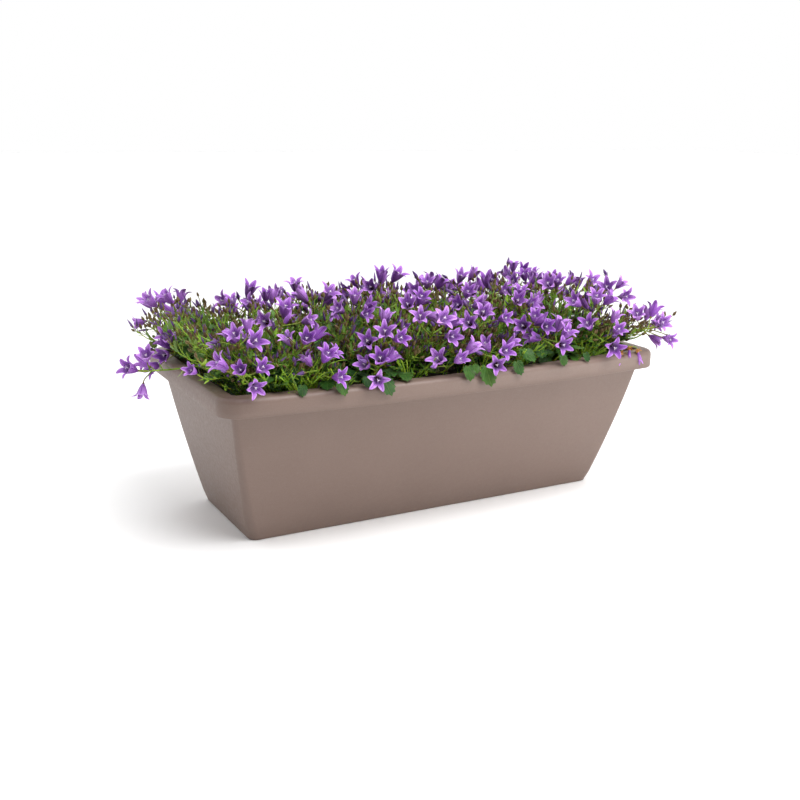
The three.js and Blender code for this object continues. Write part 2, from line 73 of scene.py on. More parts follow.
# How far what grows keeps from the box and the soil, and how far in the centres
# of the mouth's round corners are, with their radius.
CLEAR = Sizes(over_rim=1, past_ends=3, past_sides=1, over_soil=2, corner=30, corner_radius=27)
SOIL_BELOW_RIM = 26
SOIL_LUMP = 3
SOIL_TOP = BOX.height - SOIL_BELOW_RIM
CLUMP = Sizes(columns=4, rows=2, pitch=138, from_middle=58)
CROWN_HEIGHT = 8
STEM_STEPS = 3
LEAF = Sizes(count=7, length=24, middle=0.45, reach=(24, 66), rise=(14, 46), size=(0.8, 1.15))
STEM_LEAF = Sizes(place=(0.4, 0.85), size=0.72, spread=(0.85, 1.15), reach=7)
CANOPY = Sizes(
    columns=8,
    rows=6,
    pitch=80,
    offset=12,
    spread=134,
    lean=1.3,
    lean_forward=0.12,
    crest=52,
    crest_wave=8,
    wave_peak=200,
    wave_period=250,
    lowest=-4,
    end_start=200,
    end_reach=110,
    end_lean=0.4,
    end_drop=0.22,
    end_rise=24,
    stray_x=(-12, 12),
    stray_lean=(-0.12, 0.12),
    stray_rise=(-9, 9),
)
# Stems that arch out over the ends of the box, by column and row: their tip's
# x and y, and its height over the rim.
ARCHING = {(0, 2): (-328, -18, 9), (0, 3): (-276, 62, 8), (7, 1): (304, -104, 17)}
SPRAY = Sizes(
    blooms=4,
    buds=1,
    foot=5,
    step=2.6,
    blooms_apart=20,
    bud_apart=12,
    tries=40,
    stalk=(18, 28),
    bloom_reach=(9, 24),
    bud_reach=(14, 30),
    size=(0.88, 1.12),
)
BLOOM = Sizes(tube=13, throat=6.4, reach=14.8, tip_height=17, closed=0.35, opening=0.55)
BUD = Sizes(length=13, radius=2.1)

# -------------------------------------------------- draws, vectors and curves


def vec(*parts):
    return np.array(parts, float)


UP = vec(0, 0, 1)
seed = 406


def random():
    """A linear congruential generator, so that every run draws the same plant."""
    global seed
    seed = (seed * 1664525 + 1013904223) % 4294967296
    return seed / 4294967296


def between(low, high):
    return low + (high - low) * random()


def drawn(*ranges):
    """A vector with each part drawn from its range."""
    return vec(*[between(*each) for each in ranges])


def length(a):
    return math.sqrt(a[0] * a[0] + a[1] * a[1] + a[2] * a[2])


def unit(a):
    return a * (1 / length(a))


def cross(a, b):
    return vec(a[1] * b[2] - a[2] * b[1], a[2] * b[0] - a[0] * b[2], a[0] * b[1] - a[1] * b[0])


def mix(a, b, t):
    return a + (b - a) * t


def lerp(a, b, t):
    return (1 - t) * a + t * b


def clamp(x, low, high):
    return max(low, min(high, x))


def basis(w):
    """Two directions square to w and to each other."""
    u = unit(cross(UP if abs(w[2]) < 0.9 else vec(1, 0, 0), w))
    return u, cross(w, u)


def spoke(u, v, angle):
    return u * math.cos(angle) + v * math.sin(angle)


def tilted(w, angle, turn):
    """The direction at an angle to w, turned about it by a second angle."""
    return spoke(w, spoke(*basis(w), turn), angle)


def flat_way(turn):
    return vec(math.cos(turn), math.sin(turn), 0)


def spiral(k, stray=0.7):
    """The turn at which the thing with number k stands round a stem."""
    return k * 2.4 + between(-stray, stray)


def on_curve(controls, t):
    a, b, c, d = controls
    k = 1 - t
    return k * k * k * a + 3 * k * k * t * b + 3 * k * t * t * c + t * t * t * d


def bezier(controls, steps):
    return [on_curve(controls, i / steps) for i in range(steps + 1)]


# --------------------------------------------------------- where things grow


def soil_height(x, y):
    lump = math.sin(x / 17) * math.cos(y / 13) + math.sin((x + 2 * y) / 29)
    return SOIL_TOP - 6 + SOIL_LUMP * (0.5 * lump + 1 - (y / BOX.top_half_width) ** 2)


def on_soil(x, y, sunk=0):
    """A place on the soil, or sunk into it."""
    return vec(x, y, soil_height(x, y) - sunk)


class Room:
    """Balls that stand for what has been placed, so that nothing is grown
    through a neighbour. Each has the number of the node that it belongs to."""

    def __init__(self, most):
        self.centres = np.zeros((most, 3))
        self.radii = np.zeros(most)
        self.nodes = np.zeros(most, int)
        self.count = 0

    def place(self, node, centre, radius):
        self.centres[self.count] = centre
        self.radii[self.count] = radius
        self.nodes[self.count] = node
        self.count += 1

    def distances(self, point):
        d = self.centres[: self.count] - point
        return np.sqrt(d[:, 0] * d[:, 0] + d[:, 1] * d[:, 1] + d[:, 2] * d[:, 2])

    def touched(self, centre, radius):
        return self.distances(centre) <= self.radii[: self.count] + radius

    def is_clear(self, node, centre, radius, spared=None, spared_radius=0):
        if not clear_of_box(centre, radius):
            return False
        near = self.distances(centre) <= self.radii[: self.count] + radius + GAP
        near &= self.nodes[: self.count] != node
        if spared_radius:
            near &= self.distances(spared) >= spared_radius
        return not near.any()


def clear_of_box(point, radius):
    x, y, z = point
    if z - radius > BOX.height + CLEAR.over_rim:
        return True
    corner_x = max(abs(x) - (BOX.top_half_length - CLEAR.corner), 0)
    corner_y = max(abs(y) - (BOX.top_half_width - CLEAR.corner), 0)
    in_mouth = math.hypot(corner_x, corner_y) < CLEAR.corner_radius - radius
    side = BOX.top_half_width + BOX.front_bow + BOX.rim_overhang + CLEAR.past_sides
    past_end = abs(x) - radius > BOX.top_half_length + BOX.rim_overhang + CLEAR.past_ends
    outside = past_end or abs(y) - radius > side
    return outside or (in_mouth and z - radius > soil_height(x, y) + CLEAR.over_soil)


room = Room(40000)


def canopy_tip(column, row):
    """The tip of a flowering stem, and the way that it points."""
    half = (CANOPY.rows - 1) / 2
    columns_off = column - (CANOPY.columns - 1) / 2
    x = CANOPY.offset + columns_off * CANOPY.pitch + between(*CANOPY.stray_x)
    upright = ((row - half) / half) * CANOPY.lean
    lean = upright - CANOPY.lean_forward + between(*CANOPY.stray_lean)
    tip, end = on_dome(x, lean, between(*CANOPY.stray_rise))
    side = math.copysign(1, x)
    axis = vec(side * CANOPY.end_lean * end, 0.7 * math.sin(lean), math.cos(lean) + 0.5)
    if (column, row) in ARCHING:
        tip = vec(*ARCHING[column, row]) + UP * BOX.height
        axis = vec(side, 0, 0.1)
    return Sizes(tip=tip, axis=unit(axis))


def on_dome(x, lean, rise):
    """A point of the canopy, and how far into the end of the box it is."""
    wave = math.cos((TURN * (x - CANOPY.wave_peak)) / CANOPY.wave_period)
    end = clamp((abs(x) - CANOPY.end_start) / CANOPY.end_reach, 0, 1)
    crest = (CANOPY.crest + CANOPY.crest_wave * wave + rise) * (1 - CANOPY.end_drop * end * end)
    lift = max(math.cos(lean), 0.05) ** 0.8
    z = BOX.height + lerp(CANOPY.lowest, crest, lift) + CANOPY.end_rise * end * (1 - lift)
    return vec(x, CANOPY.spread * math.sin(lean), z), end


def grow_stems(node, crown, stems):
    """Each stem's curve from its crown to its tip."""
    for stem in stems:
        sideways = (stem.tip - crown) * vec(1, 1, 0)
        start = crown + UP * (CROWN_HEIGHT - 5) + sideways * (3.5 / length(sideways))
        reach = length(stem.tip - start)
        rise = start + sideways * 0.28 + UP * (0.42 * reach)
        stem.controls = (start, rise, stem.tip - stem.axis * (0.3 * reach), stem.tip)
        stem.points = bezier(stem.controls, STEM_STEPS)
    for stem in stems:
        for before, after in zip(stem.points, stem.points[1:]):
            for i in range(1, 9):
                room.place(node, mix(before, after, i / 8), 1.8)
    return stems


def try_leaf(node, start, out, reach, rise, size, spared=0.0):
    """A leaf that leaves a point in a direction, if there is room for it."""
    foot = start + out * reach + UP * rise
    facing = unit(UP + out * between(0.2, 1) + vec(0, -0.3, 0))
    across = unit(cross(facing, out))
    ahead = cross(across, facing)
    middle = foot + ahead * (LEAF.middle * LEAF.length * size)
    radius = 0.5 * LEAF.length * size
    if not room.is_clear(node, middle, radius * (1 - spared), start, 12 * spared):
        return None
    if not room.is_clear(node, foot, 3 * (1 - spared), start, 12 * spared):
        return None
    room.place(node, middle, radius * (1 - spared))
    return Sizes(start=start, foot=foot, facing=facing, across=across, ahead=ahead, size=size)


def grow_leaves(node, crown, stems):
    """Leaves stand round the crown on long stalks, and singly along the stems."""

    def by_crown(k):
        out = flat_way((k / LEAF.count) * TURN + between(-0.5, 0.5))
        start = crown + UP * (CROWN_HEIGHT - 7) + out * 4
        return start, out, between(*LEAF.reach), between(*LEAF.rise), between(*LEAF.size)

    def on_stem(stem):
        place = between(*STEM_LEAF.place) * STEM_STEPS
        i = math.floor(place)
        start = mix(stem.points[i], stem.points[i + 1], place - i)
        out = flat_way(between(0, TURN))
        size = STEM_LEAF.size * between(*STEM_LEAF.spread)
        return start, out, STEM_LEAF.reach, between(0, 4), size

    leaves = []
    for place_it, places in ((by_crown, range(LEAF.count)), (on_stem, stems)):
        for place in places:
            for _ in range(SPRAY.tries):
                leaf = try_leaf(node, *place_it(place))
                if leaf:
                    leaves.append(leaf)
                    break
    return leaves


def lobe_tips(openness):
    """How far out the tips of a bell's lobes are, and how high."""
    reach = BLOOM.reach * lerp(1 - BLOOM.closed, 1, openness)
    return reach, lerp(BLOOM.tip_height + 4, BLOOM.tip_height, openness)


def balls_of(item):
    """The balls that a bloom or a bud fills: (centre, radius, whether thin)."""
    pedicel = (mix(item.root, item.base, 0.5), 1.4, True)
    if not item.is_bloom:
        middle = item.base + item.facing * (BUD.length * 0.5 * item.size)
        return [(middle, 4, False), (item.base, 2, False), pedicel]
    mouth = item.base + item.facing * (BLOOM.tube * item.size)
    u, v = basis(item.facing)
    radius, height = [size * item.size for size in lobe_tips(item.open)]
    lobes = []
    for k in range(5):
        a = item.turn + (TURN * k) / 5
        out = item.base + u * (radius * math.cos(a)) + v * (radius * math.sin(a))
        lobes.append((mix(mouth, out + item.facing * height, 0.85), 3.2, False))
    neck = (item.base + item.facing * 4, 4.5, False)
    return [(mouth, 8.5 * item.size, False), neck, pedicel, *lobes]


def grow_item(node, stem, k, is_bloom, items):
    """One bloom or bud of a spray, where there is room for it. The first bloom
    leads: it ends a stalk that goes on from the stem's tip. The others stand
    round that stalk on pedicels, a step higher each."""
    leads = k == 0
    root = stem.tip + stem.axis * GAP
    if not leads:
        root = root + items[0].way * (SPRAY.foot + SPRAY.step * (k - 1))
    for attempt in range((8 if leads else 1) * SPRAY.tries):
        angle = between(0, 0.3 + attempt / 400) if leads else between(0.4, 1.5)
        way = tilted(stem.axis, angle, spiral(k))
        reach = between(*(SPRAY.bloom_reach if is_bloom else SPRAY.bud_reach))
        base = root + way * (between(*SPRAY.stalk) if leads else reach)
        facing = unit(way + drawn((-0.6, 0.3), (-1, 0.15), (-0.1, 0.5)))
        item = Sizes(is_bloom=is_bloom, leads=leads, root=root, base=base, way=way, facing=facing)
        item.size = between(*SPRAY.size)
        item.open = random() ** BLOOM.opening
        item.turn = between(0, 1.2)
        item.balls = balls_of(item)
        centre = item.balls[0][0]
        apart = SPRAY.blooms_apart if is_bloom else SPRAY.bud_apart
        if any(length(other.balls[0][0] - centre) < apart for other in items):
            continue
        if all(room.is_clear(node, c, r, stem.tip, 9 if thin else 0) for c, r, thin in item.balls):
            for c, r, _ in item.balls:
                room.place(node, c, r)
            items.append(item)
            return


crowns = []
for r in range(CLUMP.rows):
    for c in range(CLUMP.columns):
        x = (c - (CLUMP.columns - 1) / 2) * CLUMP.pitch
        crowns.append(vec(x, (2 * r - 1) * CLUMP.from_middle, SOIL_TOP))

tips_over = [[] for _ in crowns]
for row in range(CANOPY.rows):
    for column in range(CANOPY.columns):
        clump_row = (row * CLUMP.rows) // CANOPY.rows
        clump_column = (column * CLUMP.columns) // CANOPY.columns
        tips_over[clump_row * CLUMP.columns + clump_column].append(canopy_tip(column, row))

clumps = []
for i, crown in enumerate(crowns):
    clumps.append(Sizes(crown=crown, stems=grow_stems(i, crown, tips_over[i]), tufts=[]))
for i, clump in enumerate(clumps):
    clump.leaves = grow_leaves(i, clump.crown, clump.stems)
sprays = [Sizes(stem=stem, items=[]) for clump in clumps for stem in clump.stems]
for k in range(SPRAY.blooms + SPRAY.buds):
    for i, spray in enumerate(sprays):
        grow_item(len(crowns) + i, spray.stem, k, k < SPRAY.blooms, spray.items)

# ------------------------------------- what grows between, finer than the frame

SHOOT = Sizes(
    to_each=120,  # thin stems to a clump
    tries=10,
    steps=9,
    radius=0.85,
    blooming=0.03,  # share that ends in a bloom
    bloom_rise=(-22, 0),
    bloom_size=(0.72, 0.98),
    lowest=-44,
    highest=22,
    stray_x=(-74, 74),
    past_end=(0, 45),
    leaves=3,
    leaf_size=(0.32, 0.62),
    blades=10,
)
BLADE = Sizes(length=(8, 16), half_width=(1.2, 3.0), angle=(0.5, 1.2))
UNDERLEAF = Sizes(
    to_each=26, tries=24, reach=(18, 86), rise=(8, 52), size=(0.45, 1.05), spared=0.25
)
FRINGE = Sizes(reach=255, inset=(2, 16), rise=(4, 16), size=(0.5, 0.95), stalk=(18, 40))
# How many leaves are tried along each side of the rim.
FRINGE_SIDES = (("front", 90), ("back", 48), ("end", 15))
# Leaves that hang over the front rim: how far along it, and their size.
OVER_RIM = (
    (-208, 0.6), (-165, 0.75), (-134, 0.6), (-113, 1.0), (-3, 0.8),
    (9, 0.5), (22, 1.15), (66, 0.8), (137, 0.65), (173, 0.55),
)
# Where tufts of young stems stand, most of them along the front.
TUFTS = (
    (-254, -40), (-250, -92), (-228, -116), (-200, -122), (-178, -112), (-150, -124), (-60, -120),
    (38, -122), (92, -120), (196, -118), (250, -60), (120, 104), (-90, 104),
)
TUFT = Sizes(stems=20, reach=(34, 66))
# The node numbers of the finer things. Their leaves, blooms and buds are tested
# against all but what is LOOSE, and leaves along the rim against that too.
LOOSE = -1  # low leaves, and leaves on shoots
FIRM = -2  # blooms, buds, and leaves along the rim


def end_of_clump(i):
    """-1 or 1 for a clump at an end of the box, and 0 for one between."""
    return {0: -1, CLUMP.columns - 1: 1}.get(i % CLUMP.columns, 0)


def nearest_clump(point):
    return min(clumps, key=lambda c: math.hypot(c.crown[0] - point[0], c.crown[1] - point[1]))


def dome_spot(i, rise):
    """A place in the canopy over a clump: its tip and the way up out of it."""
    x = crowns[i][0] + between(*SHOOT.stray_x) + end_of_clump(i) * between(*SHOOT.past_end)
    lean = math.copysign(1, crowns[i][1]) * (between(0, 1.06) ** 0.8 * CANOPY.lean - 0.05)
    tip, end = on_dome(x, lean, rise)
    tip[1] *= 1 + 0.4 * rise / CANOPY.spread
    return tip, unit(vec(math.copysign(0.6, x) * end, 0.7 * math.sin(lean), math.cos(lean) + 0.4))


def grow_bloom(tip, axis, size, openness):
    """A bloom that ends a thin stem, if there is room for it."""
    facing = unit(axis + drawn((-0.6, 0.4), (-0.8, 0.3), (-0.2, 0.5)) * 0.8)
    item = Sizes(is_bloom=True, root=tip, base=tip + axis * 3, way=axis, facing=facing)
    item.size = size
    item.open = openness
    item.turn = between(0, 1.2)
    balls = balls_of(item)
    if not all(room.is_clear(LOOSE, c, r * 0.8) for c, r, thin in balls if not thin):
        return None
    for c, r, _ in balls:
        room.place(FIRM, c, r * 0.8)
    return item


def grow_buds(tip, axis, count):
    """A cluster of young buds on hair-thin pedicels."""
    buds = []
    for k in range(count):
        way = tilted(axis, between(0.3, 0.9) if k else 0, spiral(k, 0.6))
        root = tip - axis * (between(0, 9) if k else 0)
        base = root + way * between(5, 14)
        facing = unit(way + drawn((-0.3, 0.3), (-0.3, 0.3), (0, 0.4)))
        slim = random() < 0.2
        size = between(0.6, 1.05) if slim else between(0.55, 0.95)
        buds.append(Sizes(root=root, base=base, way=way, facing=facing, size=size, slim=slim))
    middle = tip + axis * 4
    if not room.is_clear(LOOSE, middle, 3):
        return None
    room.place(FIRM, middle, 2.4)
    return buds


def grow_shoot(i, crown):
    """A thin stem from a crown, with what it carries."""
    for _ in range(SHOOT.tries):
        blooms = random() < SHOOT.blooming
        rise = between(*SHOOT.bloom_rise)
        if not blooms:
            rise = lerp(SHOOT.lowest, SHOOT.highest, random() ** 0.7)
        tip, axis = dome_spot(i, rise)
        start = crown + flat_way(between(0, TURN)) * between(3, 22)
        start = on_soil(start[0], start[1], 1)
        reach = length(tip - start)
        controls = (start, start + UP * (0.45 * reach), tip - axis * (0.35 * reach), tip)
        shoot = Sizes(controls=controls, bloom=None, buds=[], leaves=[])
        if blooms:
            shoot.bloom = grow_bloom(tip, axis, between(*SHOOT.bloom_size), between(0, 0.8))
        else:
            shoot.buds = grow_buds(tip, axis, 2 + int(random() * 4))
        if not (shoot.bloom or shoot.buds):
            continue
        for _ in range(int(random() * (SHOOT.leaves + 1))):
            root = on_curve(controls, between(0.35, 0.92))
            out = flat_way(between(0, TURN))
            leaf = try_leaf(LOOSE, root, out, 3, between(0, 3), between(*SHOOT.leaf_size), 0.7)
            if leaf:
                shoot.leaves.append(leaf)
        shoot.blades = grow_blades(controls, SHOOT.blades, 0.3)
        return shoot
    return None


def grow_blades(controls, count, lowest):
    """Narrow young leaves along a stem: each has its root, way and size."""
    blades = []
    for k in range(count):
        t = lerp(lowest, 0.97, random() ** 0.8)
        root = on_curve(controls, t)
        way = unit(on_curve(controls, t + 0.02) - root)
        out = tilted(way, between(*BLADE.angle), spiral(k))
        blades.append((root, out, (between(*BLADE.length), between(*BLADE.half_width))))
    return blades


def rim_point(turned, x, inset):
    """A point over the inner edge of the rim: turned is "front", "back" or
    "end", and x is how far along it from the middle."""
    if turned == "end":
        return (BOX.top_half_length - inset) * math.copysign(1, x), 0.8 * (abs(x) - 150)
    bow = BOX.front_bow * (1 - (x / BOX.top_half_length) ** 2)
    return x, (-1 if turned == "front" else 1) * (BOX.top_half_width + bow - inset)


def leaning_leaf(start, foot, ahead, up, size):
    """A leaf that lies along a direction, with its face up."""
    across = unit(cross(up, ahead))
    facing = cross(ahead, across)
    return Sizes(start=start, foot=foot, facing=facing, across=across, ahead=ahead, size=size)


def grow_fringe_leaf(turned):
    """A leaf that leans out over the rim, on a stalk from the soil inside."""
    x, y = rim_point(turned, between(-FRINGE.reach, FRINGE.reach), between(*FRINGE.inset))
    out = vec(math.copysign(1, x), 0, 0) if turned == "end" else vec(0, math.copysign(1, y), 0)
    foot = vec(x, y, BOX.height + between(*FRINGE.rise))
    size = between(*FRINGE.size)
    sideways = vec(between(-0.6, 0.6), between(-0.6, 0.6), 0)
    ahead = unit(out + sideways + UP * between(-0.3, 0.35))
    middle = foot + ahead * (LEAF.middle * LEAF.length * size)
    radius = 0.4 * LEAF.length * size
    if room.touched(middle, radius * 0.7).any():
        return None
    room.place(FIRM, middle, radius * 0.7)
    start = foot - out * between(*FRINGE.stalk)
    return leaning_leaf(on_soil(start[0], start[1]), foot, ahead, UP, size)


def over_rim(x, out, z, inside):
    """A leaf's foot just outside the front rim's inner edge, and the place in
    the soil that its stalk comes from."""
    edge = rim_point("front", x, -out)[1]
    return vec(x, edge, z), on_soil(x * 0.96, edge + inside)


def grow_hanging_leaf(x, size):
    """A leaf that hangs down over the front rim."""
    foot, start = over_rim(x, 12, BOX.height + between(9, 13), between(34, 52))
    ahead = unit(vec(between(-0.3, 0.3), -0.5, -0.85))
    return leaning_leaf(start, foot, ahead, vec(0, -0.85, 0.5), size)


def grow_underleaf(crown):
    """A leaf on a long stalk, low between the stems."""
    for _ in range(UNDERLEAF.tries):
        out = flat_way(between(0, TURN))
        start = crown + UP + out * between(3, 16)
        reach, rise = between(*UNDERLEAF.reach), between(*UNDERLEAF.rise)
        leaf = try_leaf(LOOSE, start, out, reach, rise, between(*UNDERLEAF.size), UNDERLEAF.spared)
        if leaf:
            return leaf
    return None


def grow_tuft(x, y):
    """Young stems that fan out from one place in the soil."""
    foot = on_soil(x, y, 1)
    outward = vec(x * 0.0012, y * 0.003, 0)
    stems = []
    for _ in range(TUFT.stems):
        way = unit(vec(between(-0.6, 0.6), between(-0.35, 0.35), 1) + outward)
        reach = between(*TUFT.reach)
        tip = foot + way * reach
        bent = unit(way + way * vec(0.8, 0.8, 0))
        stems.append((foot, foot + UP * (0.4 * reach), tip - bent * (0.35 * reach), tip))
    return stems


for clump in clumps:
    found = [grow_underleaf(clump.crown) for _ in range(UNDERLEAF.to_each)]
    clump.under = [leaf for leaf in found if leaf]
for turned, count in FRINGE_SIDES:
    for _ in range(count):
        leaf = grow_fringe_leaf(turned)
        if leaf:
            nearest_clump(leaf.foot).under.append(leaf)
for x, size in OVER_RIM:
    leaf = grow_hanging_leaf(x, size)
    nearest_clump(leaf.start).under.append(leaf)
for i, clump in enumerate(clumps):
    found = [grow_shoot(i, clump.crown) for _ in range(SHOOT.to_each)]
    clump.shoots = [shoot for shoot in found if shoot]
for place in TUFTS:
    nearest_clump(place).tufts += grow_tuft(*place)

# --------------------------------------------------------------- mesh making


class Body:
    """Points, faces and tints of one piece, gathered before its mesh is made.
    A tint is what a finish's pattern is worked out from: red runs along a part
    from its root to its tip, green from its middle to its edge, blue is drawn
    once for each part, and the last is a mark: 1, but 0 on the outside of a
    corolla and on a young leaf."""

    def __init__(self):
        self.points = []
        self.tints = []
        self.faces = []
        self.finishes = []
        self.count = 0

    def add(self, points, faces, finish, along_it, across_it, chance, mark=1):
        points = np.asarray(points, float)
        tint = np.empty((len(points), 4))
        for channel, value in enumerate((along_it, across_it, chance, mark)):
            tint[:, channel] = value
        self.points.append(points)
        self.tints.append(tint)
        self.faces += [tuple(i + self.count for i in face) for face in faces]
        self.finishes += [finish] * len(faces)
        self.count += len(points)

    def add_rings(self, rings, finish, along_it, across_it, chance):
        """A skin over rings of points, closed at both ends."""
        rows, sides = len(rings), len(rings[0])
        faces = strips(rows, sides)
        faces.append(tuple(reversed(range(sides))))
        faces.append(tuple(range((rows - 1) * sides, rows * sides)))
        self.add(np.concatenate(rings), faces, finish, along_it, across_it, chance)


def strips(rows, columns):
    """The quads between rings of points."""
    faces = []
    for a in range(0, (rows - 1) * columns, columns):
        for j in range(columns):
            k = (j + 1) % columns
            faces.append((a + j, a + k, a + columns + k, a + columns + j))
    return faces


def turns(sides):
    return np.arange(sides) * 2 * math.pi / sides


def swept(body, points, radii, sides, finish, tints, chance):
    """A tube along points, with a radius at each. tints has the tint's red at
    its root and tip."""
    points = np.asarray(points, float)
    ways = np.gradient(points, axis=0)
    ways /= np.linalg.norm(ways, axis=1)[:, None]
    u = basis(ways[0])[0]
    angles = turns(sides)
    rings = []
    for point, way, radius in zip(points, ways, radii):
        u = u - way * (u @ way)
        u /= np.linalg.norm(u)
        v = np.cross(way, u)
        rings.append(point + radius * (np.outer(np.cos(angles), u) + np.outer(np.sin(angles), v)))
    along_it = np.repeat(np.linspace(*tints, len(points)), sides)
    body.add_rings(rings, finish, along_it, 0.5, chance)


def add_stalk(body, controls, steps, radii, sides, tints, chance):
    """A stem along a curve, with its radius at the root and at the tip."""
    radii = np.linspace(*radii, steps + 1)
    swept(body, bezier(controls, steps), radii, sides, "stem", tints, chance)


# ------------------------------------------------------------ parts of plants

COROLLA = Sizes(
    tube_rows=5,
    lobe_rows=(0.2, 0.42, 0.64, 0.84),
    columns=4,  # to a lobe
    foot=0.8,
    foot_radius=1.7,
    thick=0.35,
)
# The spent flowers at the front rim: how far each is to the side of the
# sprig's tip, how far below it, and its size.
SPENT = Sizes(x=250, flowers=((-15, 6, 0.8), (-2, 1, 0.62), (12, 5, 0.92)))
# Profiles: rows of a height and a radius. A bud's radius, and both numbers of a
# small bud, are shares of its own.
CALYX_ROWS = ((-1.6, 0.7), (-0.6, 1.25), (0.6, 1.75), (2.0, 1.8))
BUD_ROWS = (
    (0.3, 0.55), (1.6, 0.72), (3.6, 1), (6, 1), (8.6, 0.78), (11, 0.45), (12.6, 0.2), (13, 0.06),
)
SMALL_BUD_ROWS = ((-0.1, 0.35), (0.12, 0.9), (0.4, 1), (0.72, 0.66), (1, 0.12))
CROWN_ROWS = ((-16, 8), (-9, 9.6), (-3, 9.8), (1, 9), (4, 7.6), (7, 6.4), (8, 4))
BLADE_ROWS = ((0, 1), (0.35, 1.05), (0.7, 0.65))  # shares of its length and width


def corolla_pattern():
    """The faces of a corolla, and for each of its points the lobe, the place
    across it from -1 to 1, the level (0 to 1 up the tube, 1 to 2 out to the
    tip of a lobe) and whether it is on the inner skin."""
    points = []
    faces = []
    index = {}
    columns = COROLLA.columns
    rows = COROLLA.tube_rows + len(COROLLA.lobe_rows)
    levels = [row / (COROLLA.tube_rows - 1) for row in range(COROLLA.tube_rows)]
    levels += [1 + share for share in COROLLA.lobe_rows] + [2]

    def at(lobe, j, row, inner):
        """row counts up the tube, then out along the lobe."""
        if row < COROLLA.tube_rows and j == columns:
            lobe, j = (lobe + 1) % 5, 0
        edge = j in (0, columns) and row >= COROLLA.tube_rows - 1
        last = row == rows
        key = (lobe, 0 if last else j, row, inner and not edge and not last)
        if key not in index:
            index[key] = len(points)
            points.append((lobe, 0 if last else 2 * j / columns - 1, levels[row], key[3]))
        return index[key]

    for inner in (False, True):
        for lobe in range(5):
            for row in range(rows):
                for j in range(columns):
                    face = [at(lobe, j, row, inner), at(lobe, j + 1, row, inner)]
                    face += [at(lobe, j + 1, row + 1, inner), at(lobe, j, row + 1, inner)]
                    face = [p for i, p in enumerate(face) if p not in face[:i]]
                    faces.append(tuple(reversed(face)) if inner else tuple(face))
        ring = [at(k, j, 0, inner) for k in range(5) for j in range(columns)]
        faces.append(tuple(ring) if inner else tuple(reversed(ring)))
    return faces, np.array(points, float)


COROLLA_FACES, COROLLA_POINTS = corolla_pattern()


def frame_of(item):
    return item.base, *basis(item.facing), item.facing


def add_corolla(body, item, pinch=1):
    """A five-lobed bell, pinched where it is spent. The lobes curl out, each a
    little in its own way."""
    lobe, s, level, inner = COROLLA_POINTS.T
    lobe = lobe.astype(int)
    base, u, v, w = frame_of(item)
    ranges = ((-1, 1), (-1, 1), (0.7, 1.3))
    sway, nod, fold = [np.array([between(*r) for _ in range(5)])[lobe] for r in ranges]
    up = np.clip(level, 0, 1)
    q = np.clip(level - 1, 0, 1)
    k = 1 - q
    # The tube widens fast from its foot, then flares.
    flare = 0.82 * np.sin(up * math.pi / 2) ** 0.85 + 0.18 * up**3
    belly = COROLLA.foot_radius + (BLOOM.throat - COROLLA.foot_radius) * flare
    rib = 1 + 0.05 * (1 - s * s) - 0.04 * (np.abs(s) > 0.9) * (1 - up)
    radius = belly * rib - COROLLA.thick * inner
    turn = s * math.pi / 5
    height = COROLLA.foot + (BLOOM.tube - COROLLA.foot) * up + 0.3 * inner * (1 - up)
    # The lobes: a curve from the throat to the tip, with a width along it.
    start = (BLOOM.throat * 1.05, BLOOM.tube)
    bend = (lerp(7.0, 9.8, item.open), BLOOM.tube + 4.8)
    reach, tip_height = lobe_tips(item.open)
    ends = zip(start, bend, (reach + 0.5 * nod, tip_height + 0.9 * nod))
    curves = [(k * k * a + 2 * k * q * b + q * q * c, k * (b - a) + q * (c - b)) for a, b, c in ends]
    (middle_out, way_out), (middle_up, way_up) = curves
    way = np.hypot(way_out, way_up)
    half = BLOOM.throat * math.sin(math.pi / 5) * (1 - 0.4 * q * (1 - q)) * (1 - q * q) ** 0.75
    cup = (1.5 * k**1.5 + 0.55 * fold * half / 4) * s * s + 0.25 * fold * np.sin(7 * q) * np.abs(s)
    cup = cup + COROLLA.thick * inner * (1 - 0.6 * s * s)
    is_lobe = level > 1
    out = np.where(is_lobe, middle_out - way_up / way * cup, radius * np.cos(turn))
    height = np.where(is_lobe, middle_up + way_out / way * cup, height)
    side = np.where(is_lobe, s * half + 1.1 * sway * q * q, radius * np.sin(turn))
    angle = item.turn + TURN * lobe / 5
    x = out * np.cos(angle) - side * np.sin(angle)
    y = out * np.sin(angle) + side * np.cos(angle)
    local = np.stack([x * pinch, y * pinch, height], 1) * item.size
    points = base + local[:, :1] * u + local[:, 1:2] * v + local[:, 2:] * w
    body.add(points, COROLLA_FACES, "petal", level / 2, np.abs(s), random(), inner)


def add_blade(body, root, way, facing, size, finish, chance, red=1, mark=1):
    """A narrow pointed blade, such as a sepal: (length, half width) is size.
    Red is the tint's red at its tip."""
    long, half = size
    side = np.cross(way, facing)
    side /= np.linalg.norm(side)
    lift = np.cross(side, way)
    points = []
    for q, w in BLADE_ROWS:
        middle = root + way * long * q + lift * (0.5 * q * q) * long * 0.35
        flat = 0.28 * (1 - 0.6 * q)
        points += [middle + side * half * w, middle + lift * flat]
        points += [middle - side * half * w, middle - lift * flat]
    points.append(root + way * long + lift * 0.5 * long * 0.35)
    faces = strips(3, 4) + [(8, 9, 12), (9, 10, 12), (10, 11, 12), (11, 8, 12), (3, 2, 1, 0)]
    along_it = np.append(np.repeat([q for q, _ in BLADE_ROWS], 4), 1) * red
    body.add(points, faces, finish, along_it, 0.5, chance, mark)


def add_young_leaf(body, root, way, size):
    """A narrow leaf that leaves a stem."""
    facing = unit(UP + way * (0.01 - way[2]))
    finish = "leaf" if random() < 0.55 else "stem"
    add_blade(body, root, way, facing, size, finish, random(), red=0.5, mark=0)


